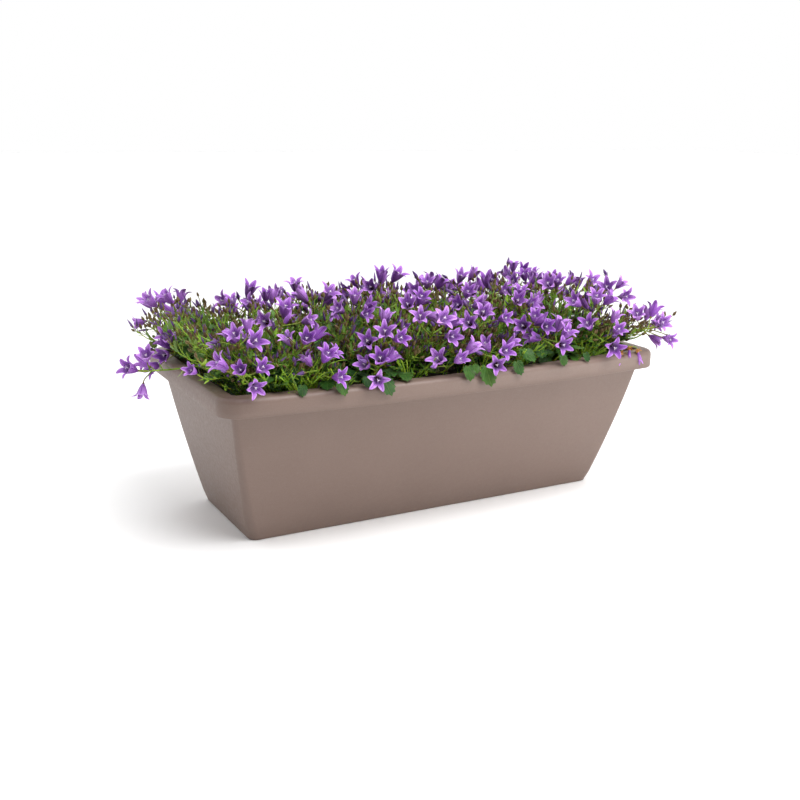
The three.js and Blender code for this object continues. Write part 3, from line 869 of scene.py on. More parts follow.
def add_calyx(body, item, scale):
    """The seed cup under a flower, and the five sepals round it."""
    base, u, v, w = frame_of(item)
    chance = random()
    size = item.size * scale
    points = [base + w * h * size for h, _ in CALYX_ROWS]
    swept(body, points, [r * size for _, r in CALYX_ROWS], 8, "calyx", (0, 0.4), chance)
    for k in range(5):
        out = spoke(u, v, item.turn + TURN * (k + 0.5) / 5 + between(-0.12, 0.12))
        way = spoke(w, out, between(0.25, 0.7))
        root = base + w * 1.4 * size + out * 1.35 * size
        add_blade(body, root, way, out, (between(5, 6.6) * size, 0.62 * size), "calyx", chance)


def add_style(body, item):
    """The style in the middle of a bloom, with three curled stigmas."""
    top = BLOOM.tube + lerp(-1.5, 2.2, item.open)
    chance = random()
    w, scale = item.facing, item.size
    points = [item.base + w * h * scale for h in (2, top * 0.5, top - 2.2, top)]
    radii = [r * scale for r in (0.55, 0.4, 0.5, 0.75)]
    swept(body, points, radii, 5, "style", (0, 1), chance)
    for k in range(3):
        out = tilted(w, math.pi / 2, item.turn + k * 2.1)
        way = w * 0.45 + out * 0.9
        size = (2.4 * scale, 0.42 * scale)
        add_blade(body, points[-1] - w * 0.3, way / np.linalg.norm(way), out, size, "style", chance)


def add_spent_flower(body, item):
    """A shrivelled bell that hangs from curled brown sepals, on its pedicel."""
    add_corolla(body, item, 0.5)
    chance = random()
    base, u, v, w = frame_of(item)
    points = [base - w * 2, base, base + w * 2.5]
    swept(body, points, [0.8, 2.0, 1.9], 8, "withered", (0, 1), chance)
    for k in range(11):
        out = spoke(u, v, item.turn + TURN * k / 5)
        way = w * between(-0.7, 0.9) + out * between(0.5, 1)
        size = (between(4, 7.5), between(1.1, 2.0))
        add_blade(body, base + out * 1.3, way / np.linalg.norm(way), w, size, "withered", random())


def add_withered_sprig(body):
    """Three spent flowers that hang over the front rim, near its right end."""
    knee, root = over_rim(SPENT.x, 6, BOX.height + 9, 40)
    tip = knee + vec(0, -4, -0.4)
    controls = (root, root + UP * 34, tip + vec(0, 14, 7), tip)
    add_stalk(body, controls, 8, (1.0, 0.7), 6, (0, 0.75), random())
    for aside, drop, size in SPENT.flowers:
        base = vec(tip[0] + aside, tip[1] - 5, tip[2] - drop)
        facing = unit(vec(aside * 0.02, -0.16, -1))
        item = Sizes(base=base, facing=facing, root=tip, size=size, open=0)
        item.turn = between(0, 1)
        item.way = unit(vec(aside * 0.1, -1, 0.2))
        add_pedicel(body, item, 0.6, 0.5)
        add_spent_flower(body, item)


def add_bloom(body, item):
    add_corolla(body, item)
    add_calyx(body, item, 1)
    add_style(body, item)


def add_pedicel(body, item, root_radius, tip_radius):
    reach = length(item.base - item.root)
    end = item.base - item.facing * (1.2 * item.size)
    first = item.root + item.way * (0.45 * reach)
    second = end - item.facing * (0.3 * reach)
    controls = (item.root, first, second, end)
    add_stalk(body, controls, 6, (root_radius, tip_radius), 5, (0.75, 1), random())


def add_bud(body, item):
    """A folded bud: a spindle with five twisted ribs, in its calyx."""
    base, u, v, w = frame_of(item)
    chance = random()
    sides = 10
    ribs = np.arange(sides) % 2
    rings = []
    for h, share in BUD_ROWS:
        a = item.turn + turns(sides) + 0.09 * h
        radius = BUD.radius * share * (1 + 0.13 * (1 - 2 * ribs)) * item.size
        middle = base + w * h * item.size
        rings.append(middle + np.outer(radius * np.cos(a), u) + np.outer(radius * np.sin(a), v))
    rows = len(BUD_ROWS)
    along_it = np.repeat(np.linspace(0, 1, rows), sides)
    body.add_rings(rings, "bud", along_it, np.tile(ribs, rows), chance)
    add_calyx(body, item, 0.9)


def add_small_bud(body, item):
    """A young bud with its sepals still shut round it, on a thin pedicel."""
    base, u, v, w = frame_of(item)
    chance = random()
    size = item.size
    long, girth = (13, 1.5) if item.slim else (8, 2.2)
    finish = "bud" if item.slim or chance < 0.12 else "calyx"
    points = [base + w * long * h * size for h, _ in SMALL_BUD_ROWS]
    radii = [girth * share * size for _, share in SMALL_BUD_ROWS]
    swept(body, points, radii, 6, finish, (0, 1), chance)
    for k in range(5):
        out = spoke(u, v, item.turn + TURN * k / 5)
        root = base + out * girth * 0.75 * size
        side = np.cross(w, out) * 0.7 * size
        tip = root + (w * 0.95 + out * 0.3) * between(3.2, 5) * size
        back = root - out * 0.5 * size + w * 0.5 * size
        corners = [root - side, root + side, back, tip]
        faces = [(0, 2, 1), (0, 1, 3), (1, 2, 3), (2, 0, 3)]
        body.add(corners, faces, "calyx", (0, 0, 0, 1), 0.5, chance)
    end = base - w * (0.06 * long)
    points = bezier((item.root, item.root + item.way * 3, end - w * 2, end), 4)
    swept(body, points, [0.5, 0.45, 0.42, 0.4, 0.4], 4, "stem", (0.8, 1), chance)


# The leaf's outline: its angle runs from one side of the notch to the other.
LEAF_RIM = 25
LEAF_RINGS = (0.36, 0.7)


def leaf_pattern():
    """The faces of a leaf, thin at its rim, where its two skins meet."""
    n = LEAF_RIM + 1
    faces = []
    for skin in (0, 1):
        centre = n + skin * (1 + 2 * n)
        rings = [centre + 1, centre + 1 + n, 0]
        skin_faces = [(centre, rings[0] + i, rings[0] + (i + 1) % n) for i in range(n)]
        for a, b in zip(rings, rings[1:]):
            skin_faces += [(a + i, b + i, b + (i + 1) % n, a + (i + 1) % n) for i in range(n)]
        faces += [tuple(reversed(f)) for f in skin_faces] if skin else skin_faces
    return faces


LEAF_FACES = leaf_pattern()


def add_leaf(body, leaf):
    """A heart-shaped leaf with a toothed, waved edge, on its stalk."""
    chance = random()
    long = LEAF.length * leaf.size
    centre = leaf.foot + leaf.ahead * (LEAF.middle * long)
    i = np.arange(LEAF_RIM)
    a = math.pi * (0.88 - 1.76 * i / (LEAF_RIM - 1))
    heart = 0.5 * (1 + 0.16 * np.cos(a) ** 3 - 0.1 * np.sin(a) ** 2)
    heart = heart * np.where(i % 2, 0.84, 1.0) + 0.06 * np.exp(-((a / 0.3) ** 2))
    radius = np.append(heart * long, 0.28 * long)
    a = np.append(a, math.pi)
    x, y = radius * np.cos(a), radius * np.sin(a)
    wave = between(0, 6)
    curl = between(-0.6, 1.2)

    def skin(share, drop):
        hump = 1.7 * np.abs(np.sin(a)) * share**1.5 + 0.9 * np.sin(3 * a + wave) * share**3
        lift = (hump - curl * share**2 * np.cos(a)) * long / 24 - drop
        spots = centre + np.outer(x * share, leaf.ahead) + np.outer(y * share, leaf.across)
        return spots + np.outer(lift, leaf.facing)

    def spread(d):
        """A distance at the rim, for each of the points, in lengths of the leaf."""
        return np.concatenate([d, *([[0], *[d * share for share in LEAF_RINGS]] * 2)]) / long

    parts = [skin(1, 0)]
    for drop in (0, 0.5):
        parts.append([centre - leaf.facing * drop])
        parts += [skin(share, drop * (1 - share * 0.4)) for share in LEAF_RINGS]
    points = np.concatenate(parts)
    body.add(points, LEAF_FACES, "leaf", np.clip(spread(x) + 0.4, 0, 1), spread(y) + 0.5, chance)
    notch = leaf.foot + leaf.ahead * (0.2 * long)
    bend = mix(leaf.start, leaf.foot, 0.6) + UP * (0.12 * length(leaf.foot - leaf.start))
    stalk = bezier((leaf.start, bend, leaf.foot - leaf.ahead, notch), 6)
    swept(body, stalk, np.linspace(0.75, 0.5, 7) * leaf.size**0.3, 4, "stem", (0.2, 0.45), chance)


def add_young_stem(body, controls):
    """A thin bright stem, with a few narrow leaves."""
    add_stalk(body, controls, 7, (0.95, 0.6), 4, (0, 0.2), between(0.7, 1))
    for root, way, (long, half) in grow_blades(controls, 3, 0.4):
        add_young_leaf(body, root, way, (long * 0.7, half * 0.6))


def add_crown(body, crown):
    """The woody foot of a clump, sunk into the soil."""
    a = turns(14)
    rings = []
    for h, radius in CROWN_ROWS:
        bumps = radius * (1 + 0.09 * np.cos(3 * a + h / 3) + 0.05 * np.cos(7 * a))
        rings.append(crown + np.stack([bumps * np.cos(a), bumps * np.sin(a), 0 * a + h], 1))
    body.add_rings(rings, "wood", 0.2, 0.5, random())


# ------------------------------------------------------------------- the box

CORNER_STEPS = 12
SIDE_STEPS = (48, 16)  # along the box and across it
MOUTH_ROUND = 2.2  # the radius of the wall's inner top edge


def plan(shape):
    """A rectangle with round corners and sides that stand out in the middle."""
    points = []
    for q in range(4):
        centre_x = (1 if q in (0, 3) else -1) * (shape.half_x - shape.corner)
        centre_y = (1 if q < 2 else -1) * (shape.half_y - shape.corner)
        for i in range(CORNER_STEPS + 1):
            x, y, _ = flat_way((math.pi / 2) * (q + i / CORNER_STEPS)) * shape.corner
            points.append((centre_x + x, centre_y + y))
        steps = SIDE_STEPS[q % 2]
        x0, y0 = points[-1]
        x1, y1 = (x0, -y0) if q % 2 else (-x0, y0)
        points += [(lerp(x0, x1, i / steps), lerp(y0, y1, i / steps)) for i in range(1, steps)]
    x, y = np.array(points).T
    bowed_x = x + shape.bow_x * x * (1 - (y / shape.half_y) ** 2) / shape.half_x
    bowed_y = y + shape.bow_y * y * (1 - (x / shape.half_x) ** 2) / shape.half_y
    return np.stack([bowed_x, bowed_y], 1)


def wall_at(z, inset):
    """The wall's outer face at a height, moved in by a distance."""
    t = clamp(z / RIM_FOOT, 0, 1)
    g = lerp(t, 1 - (1 - t) ** 2, BOX.bulge)
    return Sizes(
        half_x=lerp(BOX.base_half_length, BOX.top_half_length, g) - inset,
        half_y=lerp(BOX.base_half_width, BOX.top_half_width, g) - inset,
        corner=max(lerp(BOX.base_corner, BOX.top_corner, g) - inset, 4),
        bow_x=BOX.end_bow * g,
        bow_y=BOX.front_bow * g,
    )


def rim_at(inset):
    """The rim's outer face, moved in by a distance."""
    out = BOX.rim_overhang - inset
    return Sizes(
        half_x=BOX.top_half_length + out,
        half_y=BOX.top_half_width + out,
        corner=BOX.top_corner + out,
        bow_x=BOX.end_bow,
        bow_y=BOX.front_bow,
    )


def level(shape, z):
    flat = plan(shape)
    return np.column_stack([flat, np.full(len(flat), z)])


def box_rings():
    """The box's skin as level rings, from the middle of its underside, up the
    outside, over the rim and down the inside."""
    top, wall, foot, edge = BOX.height, BOX.wall, BOX.foot_round, BOX.rim_round
    flange = top - wall
    quarter = [(math.sin(a), math.cos(a)) for a in [math.pi / 2 * i / 5 for i in range(6)]]
    rings = [level(wall_at(0, inset), 0) for inset in (40, 12, foot + 1.5)]
    rings += [level(wall_at(0, foot * (1 - sin)), foot * (1 - cos)) for sin, cos in quarter]
    rings += [level(wall_at(z, 0), z) for z in np.linspace(foot, RIM_FOOT, 16)[1:]]
    rings.append(level(wall_at(top, 0), flange - 2))
    # Under the flange, down the inside of the rim, and round the rim's foot.
    for inset, z in (
        (wall + 2, flange),
        (wall, flange - edge),
        (wall, RIM_FOOT + 0.6),
        (wall - 0.5, RIM_FOOT),
        (0.6, RIM_FOOT),
        (0, RIM_FOOT + 0.7),
        (0, RIM_FOOT + 7),
    ):
        rings.append(level(rim_at(inset), z))
    rings += [level(rim_at(edge * (1 - cos)), top - edge * (1 - sin)) for sin, cos in quarter]
    rings.append(level(wall_at(top, -4), top))
    for sin, cos in quarter:
        rings.append(level(wall_at(top, wall - MOUTH_ROUND * (1 - sin)), top - MOUTH_ROUND * (1 - cos)))
    rings += [level(wall_at(z, wall), z) for z in np.linspace(RIM_FOOT, 12, 9)]
    return rings + [level(wall_at(wall, inset), wall) for inset in (wall + 1, 40)]


def make_box():
    body = Body()
    body.add_rings(box_rings(), "plastic", 0.5, 0.5, 0.5)
    box = make_piece("planter_box", body, "box", "window_box")
    for i in range(DRAIN.count):
        x = (i - (DRAIN.count - 1) / 2) * DRAIN.spacing
        drill(box, x, DRAIN.from_middle if i % 2 else -DRAIN.from_middle)


def drill(box, x, y):
    """A round drain hole through the floor."""
    bpy.ops.mesh.primitive_cylinder_add(
        vertices=32,
        radius=DRAIN.radius * MM,
        depth=4 * BOX.wall * MM,
        location=(x * MM, y * MM, BOX.wall / 2 * MM),
    )
    bit = bpy.context.object
    cut = box.modifiers.new("drain", "BOOLEAN")
    cut.object = bit
    cut.operation = "DIFFERENCE"
    cut.solver = "EXACT"
    bpy.context.view_layer.objects.active = box
    bpy.ops.object.modifier_apply(modifier=cut.name)
    bpy.data.objects.remove(bit)


# ------------------------------------------------------------------ the soil

SOIL = Sizes(rings=46, edge_below=9, crumbs=420, reach_x=258, reach_y=112, crumb=(1, 3.4))


def make_soil():
    """Crumbly soil: a mound with lumps, down to the floor of the box."""
    body = Body()
    inset = BOX.wall + GAP + 0.1
    edge_z = SOIL_TOP - SOIL.edge_below
    edge = plan(wall_at(edge_z, inset))
    rings = [level(wall_at(BOX.wall, inset + 2), BOX.wall + GAP)]
    rings += [level(wall_at(z, inset), z) for z in (20, RIM_FOOT * 0.5)]
    rings.append(np.column_stack([edge, [edge_z] * len(edge)]))
    for share in np.linspace(0.03, 1, SOIL.rings)[-2::-1]:
        flat = edge * share
        rings.append(np.column_stack([flat, [crumbled(x, y, 1 - share**12) for x, y in flat]]))
    body.add_rings(rings, "soil", 0.5, 0.5, 0.5)
    for _ in range(SOIL.crumbs):
        add_crumb(body, between(-SOIL.reach_x, SOIL.reach_x), between(-SOIL.reach_y, SOIL.reach_y))
    make_piece("soil_fill", body, "soil", "potting_soil")


def crumbled(x, y, share):
    """The soil's height with small lumps on it."""
    rough = math.sin(x * 0.9 + 3 * math.sin(y * 0.31)) * math.cos(y * 0.8 + 2 * math.sin(x * 0.23))
    fine = math.sin(x * 1.9 + y * 1.3) * math.sin(y * 2.3 - x * 0.7)
    return soil_height(x, y) + share * (1.1 * rough + 0.6 * fine)


def add_crumb(body, x, y):
    """A crumb of soil or a chip of bark, half sunk."""
    size = between(*SOIL.crumb)
    turn = between(0, 6)
    chance = random()
    middle = vec(x, y, crumbled(x, y, 1) + 0.2 * size)
    low = [middle + flat_way(turn + k * 1.257) * size for k in range(5)]
    low = [p + UP * (between(-0.3, 0.3) * size) for p in low]
    points = [*low, middle + UP * (size * between(0.4, 0.8)), middle - UP * size]
    faces = [(k, (k + 1) % 5, 5) for k in range(5)] + [((k + 1) % 5, k, 6) for k in range(5)]
    body.add(points, faces, "soil", 0.5, 0.5, chance)


# ----------------------------------------------------------------- materials


class Value:
    """What a node gives: a number or a colour that can be reckoned with."""

    def __init__(self, nodes, socket):
        self.nodes = nodes
        self.socket = socket

    def maths(self, operation, *others):
        inputs = dict(enumerate((self, *others)))
        return self.nodes.put("ShaderNodeMath", inputs, operation=operation)

    def __add__(self, other):
        return self.maths("ADD", other)

    def __sub__(self, other):
        return self.maths("SUBTRACT", other)

    def __mul__(self, other):
        return self.maths("MULTIPLY", other)

    def mapped(self, low, high, to_low=0.0, to_high=1.0):
        inputs = {0: self, 1: low, 2: high, 3: to_low, 4: to_high}
        return self.nodes.put("ShaderNodeMapRange", inputs)

    def scaled(self, share):
        inputs = {0: self, "Scale": share}
        return self.nodes.put("ShaderNodeVectorMath", inputs, operation="SCALE")

    def blend(self, a, b):
        """The colour this far from a to b; each is a Value or an RGB tuple."""
        ends = {6: a, 7: b}
        ends = {slot: c if isinstance(c, Value) else (*c, 1) for slot, c in ends.items()}
        return self.nodes.put("ShaderNodeMix", {0: self, **ends}, 2, data_type="RGBA")


class Nodes:
    """A node tree, which Values are worked out in."""

    def __init__(self, tree):
        self.tree = tree

    def feed(self, node, key, value):
        if isinstance(value, Value):
            self.tree.links.new(value.socket, node.inputs[key])
        else:
            node.inputs[key].default_value = value

    def put(self, kind, inputs=(), output=0, **settings):
        """What a new node gives, from its settings and its inputs."""
        node = self.tree.nodes.new(kind)
        for key, value in settings.items():
            setattr(node, key, value)
        for key, value in dict(inputs).items():
            self.feed(node, key, value)
        return Value(self, node.outputs[output])


class Finish(Nodes):
    """A material. Its shader's inputs are set by name, with _ for a space."""

    def __init__(self, name, roughness, **constants):
        self.material = bpy.data.materials.new(name)
        self.material.use_nodes = True
        super().__init__(self.material.node_tree)
        self.set(Roughness=roughness, **constants)

    def set(self, **inputs):
        for key, value in inputs.items():
            self.feed(self.tree.nodes["Principled BSDF"], key.replace("_", " "), value)

    def tint(self):
        """The tint's channels: along, across and chance, and the mark."""
        colour = self.put("ShaderNodeVertexColor", layer_name="tint")
        split = self.put("ShaderNodeSeparateColor", {"Color": colour})
        channels = [*split.socket.node.outputs[:3], colour.socket.node.outputs["Alpha"]]
        return [Value(self, channel) for channel in channels]

    def noise(self, scale, detail=3.0, stretch=None):
        """Noise in the object's own space, with so many features to a metre."""
        place = self.put("ShaderNodeTexCoord", output="Object")
        if stretch:
            place = self.put("ShaderNodeMapping", {"Vector": place, "Scale": stretch})
        inputs = {"Vector": place, "Scale": scale, "Detail": detail}
        return self.put("ShaderNodeTexNoise", inputs, "Fac")

    def speckle(self, base, scale, spread, detail=2.0):
        """Colours the material with a colour, lighter and darker in spots."""
        self.set(Base_Color=base.scaled(self.noise(scale, detail).mapped(*spread)))

    def bump(self, height, strength, distance):
        inputs = {"Height": height, "Strength": strength, "Distance": distance}
        self.set(Normal=self.put("ShaderNodeBump", inputs))


def plastic():
    """Satin moulded plastic with a fine grain, and faint scuffs."""
    m = Finish("taupe_plastic", 0.5)
    base = m.noise(9).mapped(0.3, 0.7).blend((0.156, 0.104, 0.083), (0.168, 0.113, 0.091))
    grain = m.noise(900, 2.0).mapped(0.35, 0.65) * 0.22
    scuffs = m.noise(60, 6.0, (1, 1, 6)).mapped(0.62, 0.8, 0.0, 0.25)
    m.set(Base_Color=scuffs.blend(grain.blend(base, (0.22, 0.158, 0.13)), (0.22, 0.17, 0.15)))
    m.set(Roughness=m.noise(240).mapped(0.3, 0.7, 0.42, 0.55))
    m.bump(m.noise(1500, 2.0), 0.22, 0.0004)
    return m.material


def soil():
    m = Finish("potting_soil", 0.95)
    *_, chance, _ = m.tint()
    base = m.noise(140, 5.0).mapped(0.35, 0.7).blend((0.011, 0.007, 0.005), (0.05, 0.032, 0.02))
    m.set(Base_Color=chance.mapped(0.8, 0.9).blend(base, (0.12, 0.075, 0.04)))
    m.bump(m.noise(420, 6.0), 0.8, 0.001)
    return m.material


def stem():
    """Bright yellow-green low down, brown-olive near the flowers."""
    m = Finish("stem", 0.5, Specular_IOR_Level=0.15, Subsurface_Weight=0.1)
    along_it, _, chance, _ = m.tint()
    low = chance.blend((0.08, 0.22, 0.015), (0.34, 0.56, 0.045))
    high = chance.blend((0.13, 0.072, 0.028), (0.16, 0.26, 0.035))
    m.speckle(along_it.mapped(0.68, 1.0).blend(low, high), 500, (0.4, 0.65, 0.75, 1.1))
    m.bump(m.noise(900, 2.0), 0.25, 0.0003)
    return m.material


def leaf_veins(ahead, across):
    """Veins that fan out from the stalk: 1 along each, and 0 between them."""
    side = across - 0.5
    ahead = ahead - 0.12
    angle = side.maths("ARCTAN2", ahead + 0.03)
    reach = (side * side + ahead * ahead).maths("SQRT")
    share = (angle.maths("DIVIDE", 0.52) + 0.5).maths("FRACT")
    return ((share - 0.5).maths("ABSOLUTE") * reach).mapped(0.006, 0.03, 1.0, 0.0)


def leaf():
    """Dark green with paler veins. A young leaf is brighter."""
    m = Finish("leaf", 0.45, Specular_IOR_Level=0.2, Subsurface_Weight=0.08)
    ahead, across, chance, grown = m.tint()
    vein = leaf_veins(ahead, across)
    old = chance.blend((0.011, 0.048, 0.008), (0.04, 0.118, 0.013))
    young = chance.blend((0.035, 0.14, 0.01), (0.12, 0.32, 0.03))
    patches = m.noise(160, 4.0).mapped(0.35, 0.7, 0.75, 1.25)
    blade = grown.blend(young, old).scaled(patches)
    m.set(Base_Color=(vein * 0.45).blend(blade, (0.12, 0.21, 0.04)))
    m.set(Roughness=m.noise(300).mapped(0.3, 0.7, 0.36, 0.52))
    m.bump(m.noise(500) * 0.5 - vein, 0.5, 0.0006)
    return m.material


def petal():
    """Light violet, paler at the margins, with a darker vein up the middle of each lobe and a pale
    throat. The throat is partly the flower's own colour and partly painted light that stands in for
    light shining through the bell."""
    m = Finish("petal", 0.5, Specular_IOR_Level=0.2, Subsurface_Weight=0.2)
    m.set(Subsurface_Radius=(0.004, 0.002, 0.005))
    level, across, chance, inner = m.tint()
    light = chance.blend((0.31, 0.1, 0.49), (0.53, 0.25, 0.71))
    deep = chance.blend((0.19, 0.055, 0.33), (0.34, 0.14, 0.5))
    base = level.mapped(0.15, 0.62).blend(deep, light)
    margin = across.mapped(0.55, 1.0, 0.0, 0.6) * level.mapped(0.45, 0.6)
    base = margin.blend(base, (0.7, 0.46, 0.84))
    side_vein = (across - 0.5).maths("ABSOLUTE").mapped(0.02, 0.1, 0.3, 0.0)
    vein = across.mapped(0.04, 0.22, 0.75, 0.0).maths("MAXIMUM", side_vein)
    vein = vein * level.mapped(0.75, 1.0, 1.0, 0.25)
    base = vein.blend(base, (0.16, 0.035, 0.3))
    # Partly painted light: the inner skin's throat is made paler than the flower's own pale throat, to
    # stand in for light shining through the bell.
    throat = level.mapped(0.3, 0.5, 0.3, 0.0) * inner
    m.speckle(throat.blend(base, (0.7, 0.58, 0.76)), 700, (0.3, 0.7, 0.84, 1.12), 3.0)
    m.bump(m.noise(900) * 0.4 - vein, 0.35, 0.0004)
    return m.material


def bud():
    """Dark violet, paler between the ribs, green at the foot."""
    m = Finish("bud", 0.45, Specular_IOR_Level=0.25)
    along_it, rib, chance, _ = m.tint()
    deep = chance.blend((0.045, 0.018, 0.085), (0.12, 0.05, 0.2))
    pale = chance.blend((0.14, 0.065, 0.25), (0.27, 0.14, 0.42))
    foot = along_it.mapped(0.0, 0.3, 0.7, 0.0)
    m.speckle(foot.blend(rib.blend(pale, deep), (0.1, 0.1, 0.05)), 800, (0.35, 0.65, 0.8, 1.15))
    m.bump(m.noise(1200, 2.0), 0.2, 0.0003)
    return m.material


def calyx():
    """Brown-olive, with a dark purple cast towards the tips."""
    m = Finish("calyx", 0.6, Specular_IOR_Level=0.2)
    along_it, _, chance, _ = m.tint()
    base = chance.blend((0.1, 0.054, 0.022), (0.18, 0.145, 0.045))
    base = along_it.mapped(0.3, 1.0, 0.0, 0.5).blend(base, (0.075, 0.04, 0.04))
    m.speckle(base, 900, (0.35, 0.65, 0.75, 1.25))
    m.bump(m.noise(1400, 2.0), 0.25, 0.0003)
    return m.material


def style():
    m = Finish("style", 0.5)
    along_it, _, chance, _ = m.tint()
    tip = chance.blend((0.75, 0.7, 0.62), (0.8, 0.72, 0.82))
    base = along_it.mapped(0.0, 0.7).blend((0.42, 0.3, 0.55), tip)
    m.speckle(base, 1100, (0.35, 0.65, 0.9, 1.06))
    return m.material


def wood():
    m = Finish("crown_wood", 0.8)
    grain = m.noise(260, 5.0, (1, 1, 0.3)).mapped(0.35, 0.7)
    m.set(Base_Color=grain.blend((0.05, 0.045, 0.02), (0.16, 0.17, 0.06)))
    m.bump(m.noise(420, 5.0), 0.6, 0.0008)
    return m.material


def withered():
    m = Finish("withered", 0.8)
    *_, chance, _ = m.tint()
    base = chance.blend((0.3, 0.12, 0.02), (0.6, 0.3, 0.07))
    dark = m.noise(420, 5.0).mapped(0.4, 0.75, 0.0, 0.7)
    m.set(Base_Color=dark.blend(base, (0.09, 0.045, 0.03)))
    m.bump(m.noise(600, 4.0), 0.6, 0.0006)
    return m.material


FINISHES = {
    "plastic": plastic(),
    "soil": soil(),
    "stem": stem(),
    "leaf": leaf(),
    "petal": petal(),
    "bud": bud(),
    "calyx": calyx(),
    "style": style(),
    "wood": wood(),
    "withered": withered(),
}

# -------------------------------------------------------------------- pieces

SHARP = math.radians(50)
STEM_RADII = (1.35, 0.95)  # at the root and at the tip
STEMS_TO_CLUMP = len(sprays) // len(clumps)


def linked(name, data):
    thing = bpy.data.objects.new(name, data)
    bpy.context.scene.collection.objects.link(thing)
    return thing


def make_piece(name, body, slot, *nodes):
    """A shown piece of the object from a gathered body."""
    mesh = bpy.data.meshes.new(name)
    points = np.concatenate(body.points) * MM
    mesh.from_pydata(points.tolist(), [], body.faces)
    used = [finish for finish in FINISHES if finish in body.finishes]
    for finish in used:
        mesh.materials.append(FINISHES[finish])
    mesh.polygons.foreach_set("material_index", [used.index(f) for f in body.finishes])
    tint = mesh.color_attributes.new("tint", "FLOAT_COLOR", "POINT")
    tint.data.foreach_set("color", np.concatenate(body.tints).ravel())
    mesh.shade_smooth()
    mesh.set_sharp_from_angle(angle=SHARP)
    mesh.update()
    piece = linked(name, mesh)
    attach(piece, "root")
    if nodes:
        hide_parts(*nodes)
    return piece


def make_stems_and_leaves(number, clump):
    body = Body()
    add_crown(body, clump.crown)
    for one in clump.stems:
        add_stalk(body, one.controls, 12, STEM_RADII, 6, (0, 0.75), random())
        for blade in grow_blades(one.controls, 5, 0.25):
            add_young_leaf(body, *blade)
    for one in clump.leaves:
        add_leaf(body, one)
    make_piece(f"clump_{number}_stems_and_leaves", body, "foliage", f"plant_{number}_leafy_stems")


def make_side_shoots(number, clump):
    body = Body()
    for one in clump.under:
        add_leaf(body, one)
    for controls in clump.tufts:
        add_young_stem(body, controls)
    if number == CLUMP.columns:
        add_withered_sprig(body)
    radii = (SHOOT.radius, SHOOT.radius * 0.7)
    for shoot in clump.shoots:
        add_stalk(body, shoot.controls, SHOOT.steps, radii, 5, (0, 0.75), random())
        for one in shoot.leaves:
            add_leaf(body, one)
        if shoot.bloom:
            add_bloom(body, shoot.bloom)
            add_pedicel(body, shoot.bloom, 0.55, 0.5)
        for one in shoot.buds:
            one.turn = between(0, 1)
            add_small_bud(body, one)
        for blade in shoot.blades:
            add_young_leaf(body, *blade)
    make_piece(f"clump_{number}_side_shoots", body, "foliage")


def make_blooms(clump_number, number, spray):
    body = Body()
    for item in spray.items:
        add_pedicel(body, item, 1.0 if item.leads else 0.75, 0.7)
        if item.is_bloom:
            add_bloom(body, item)
        else:
            add_bud(body, item)
    name = f"clump_{clump_number}_blooms_{number}"
    make_piece(name, body, "petals", f"plant_{clump_number}_bloom_spray_{number}")


make_box()
make_soil()
for i, clump in enumerate(clumps):
    make_stems_and_leaves(i + 1, clump)
    make_side_shoots(i + 1, clump)
for i, spray in enumerate(sprays):
    make_blooms(i // STEMS_TO_CLUMP + 1, i % STEMS_TO_CLUMP + 1, spray)

# --------------------------------------------------- floor, light and camera

FLOOR_REACH = 12.0
DIM_SIDE = (-0.46, -0.85, 0.25)  # the way in which the studio is darkest


def make_floor():
    mesh = bpy.data.meshes.new("floor")
    signs = ((-1, -1), (1, -1), (1, 1), (-1, 1))
    corners = [(x * FLOOR_REACH, y * FLOOR_REACH, 0) for x, y in signs]
    mesh.from_pydata(corners, [], [(0, 1, 2, 3)])
    m = Finish("pale_floor", 0.9)
    shade = m.noise(3).mapped(0.3, 0.7, 0.95, 0.97)
    m.set(Base_Color=m.put("ShaderNodeCombineColor", {0: shade, 1: shade, 2: shade}))
    mesh.materials.append(m.material)
    floor = linked("floor", mesh)


def add_light(name, place, target, size, power, tone=(1, 1, 1)):
    data = bpy.data.lights.new(name, "AREA")
    data.shape = "RECTANGLE"
    data.size, data.size_y = size
    data.energy = power
    data.color = tone
    lamp = linked(name, data)
    lamp.location = place
    way = Vector(target) - Vector(place)
    lamp.rotation_mode = "QUATERNION"
    lamp.rotation_quaternion = way.to_track_quat("-Z", "Y")


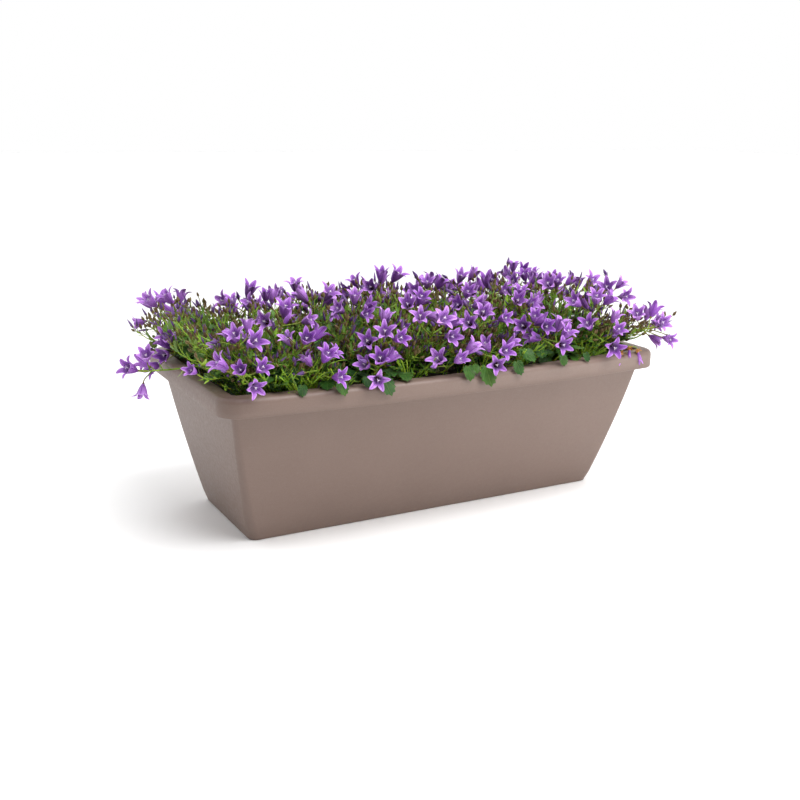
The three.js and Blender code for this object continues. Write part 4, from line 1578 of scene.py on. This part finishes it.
def make_world():
    """White walls, which give less light on one side. Seen straight, they are
    all as white as paper."""
    world = bpy.data.worlds.new("studio")
    world.use_nodes = True
    nodes = Nodes(world.node_tree)
    way = nodes.put("ShaderNodeTexCoord", output="Generated")
    inputs = {0: way, 1: DIM_SIDE}
    toward = nodes.put("ShaderNodeVectorMath", inputs, "Value", operation="DOT_PRODUCT")
    strength = toward.mapped(0.1, 0.85, 1.5, 0.05)
    seen = nodes.put("ShaderNodeLightPath", output="Is Camera Ray")
    strength = nodes.put("ShaderNodeMix", {0: seen, 2: strength, 3: 1.0}, data_type="FLOAT")
    nodes.feed(world.node_tree.nodes["Background"], "Strength", strength)
    nodes.feed(world.node_tree.nodes["Background"], "Color", (1, 1, 1, 1))
    bpy.context.scene.world = world
    bpy.context.scene.view_settings.view_transform = "Standard"


# The camera looks down on the box from its left front.
YAW = -0.5000212
PITCH = 0.2627234
ROLL = 0.0139086
DISTANCE = 1391.246
TARGET = (-5.467, 0, 124.064)
FOCAL_SHARE = 1061.61 / 800  # focal length over the width of the picture
SENSOR = 36


def make_camera():
    data = bpy.data.cameras.new("camera")
    data.sensor_width = SENSOR
    data.lens = FOCAL_SHARE * SENSOR
    data.clip_end = 60
    camera = linked("camera", data)
    back = vec(math.sin(YAW) * math.cos(PITCH), -math.cos(YAW) * math.cos(PITCH), math.sin(PITCH))
    right = vec(math.cos(YAW), math.sin(YAW), 0)
    up = cross(back, right)
    columns = np.column_stack([spoke(right, up, ROLL), spoke(up, -right, ROLL), back])
    place = (vec(*TARGET) + back * DISTANCE) * MM
    rows = [[*row, at] for row, at in zip(columns.tolist(), place)]
    camera.matrix_world = Matrix([*rows, [0, 0, 0, 1]])
    bpy.context.scene.camera = camera


make_floor()
make_world()
add_light("top_light", (0.28, -0.85, 1.65), (0.05, -0.25, 0), (1.4, 1.2), 34)
add_light("low_front_light", (1.0, -1.15, 0.2), (0.1, 0, 0.05), (0.9, 0.34), 6.5, (1, 0.97, 0.94))
make_camera()
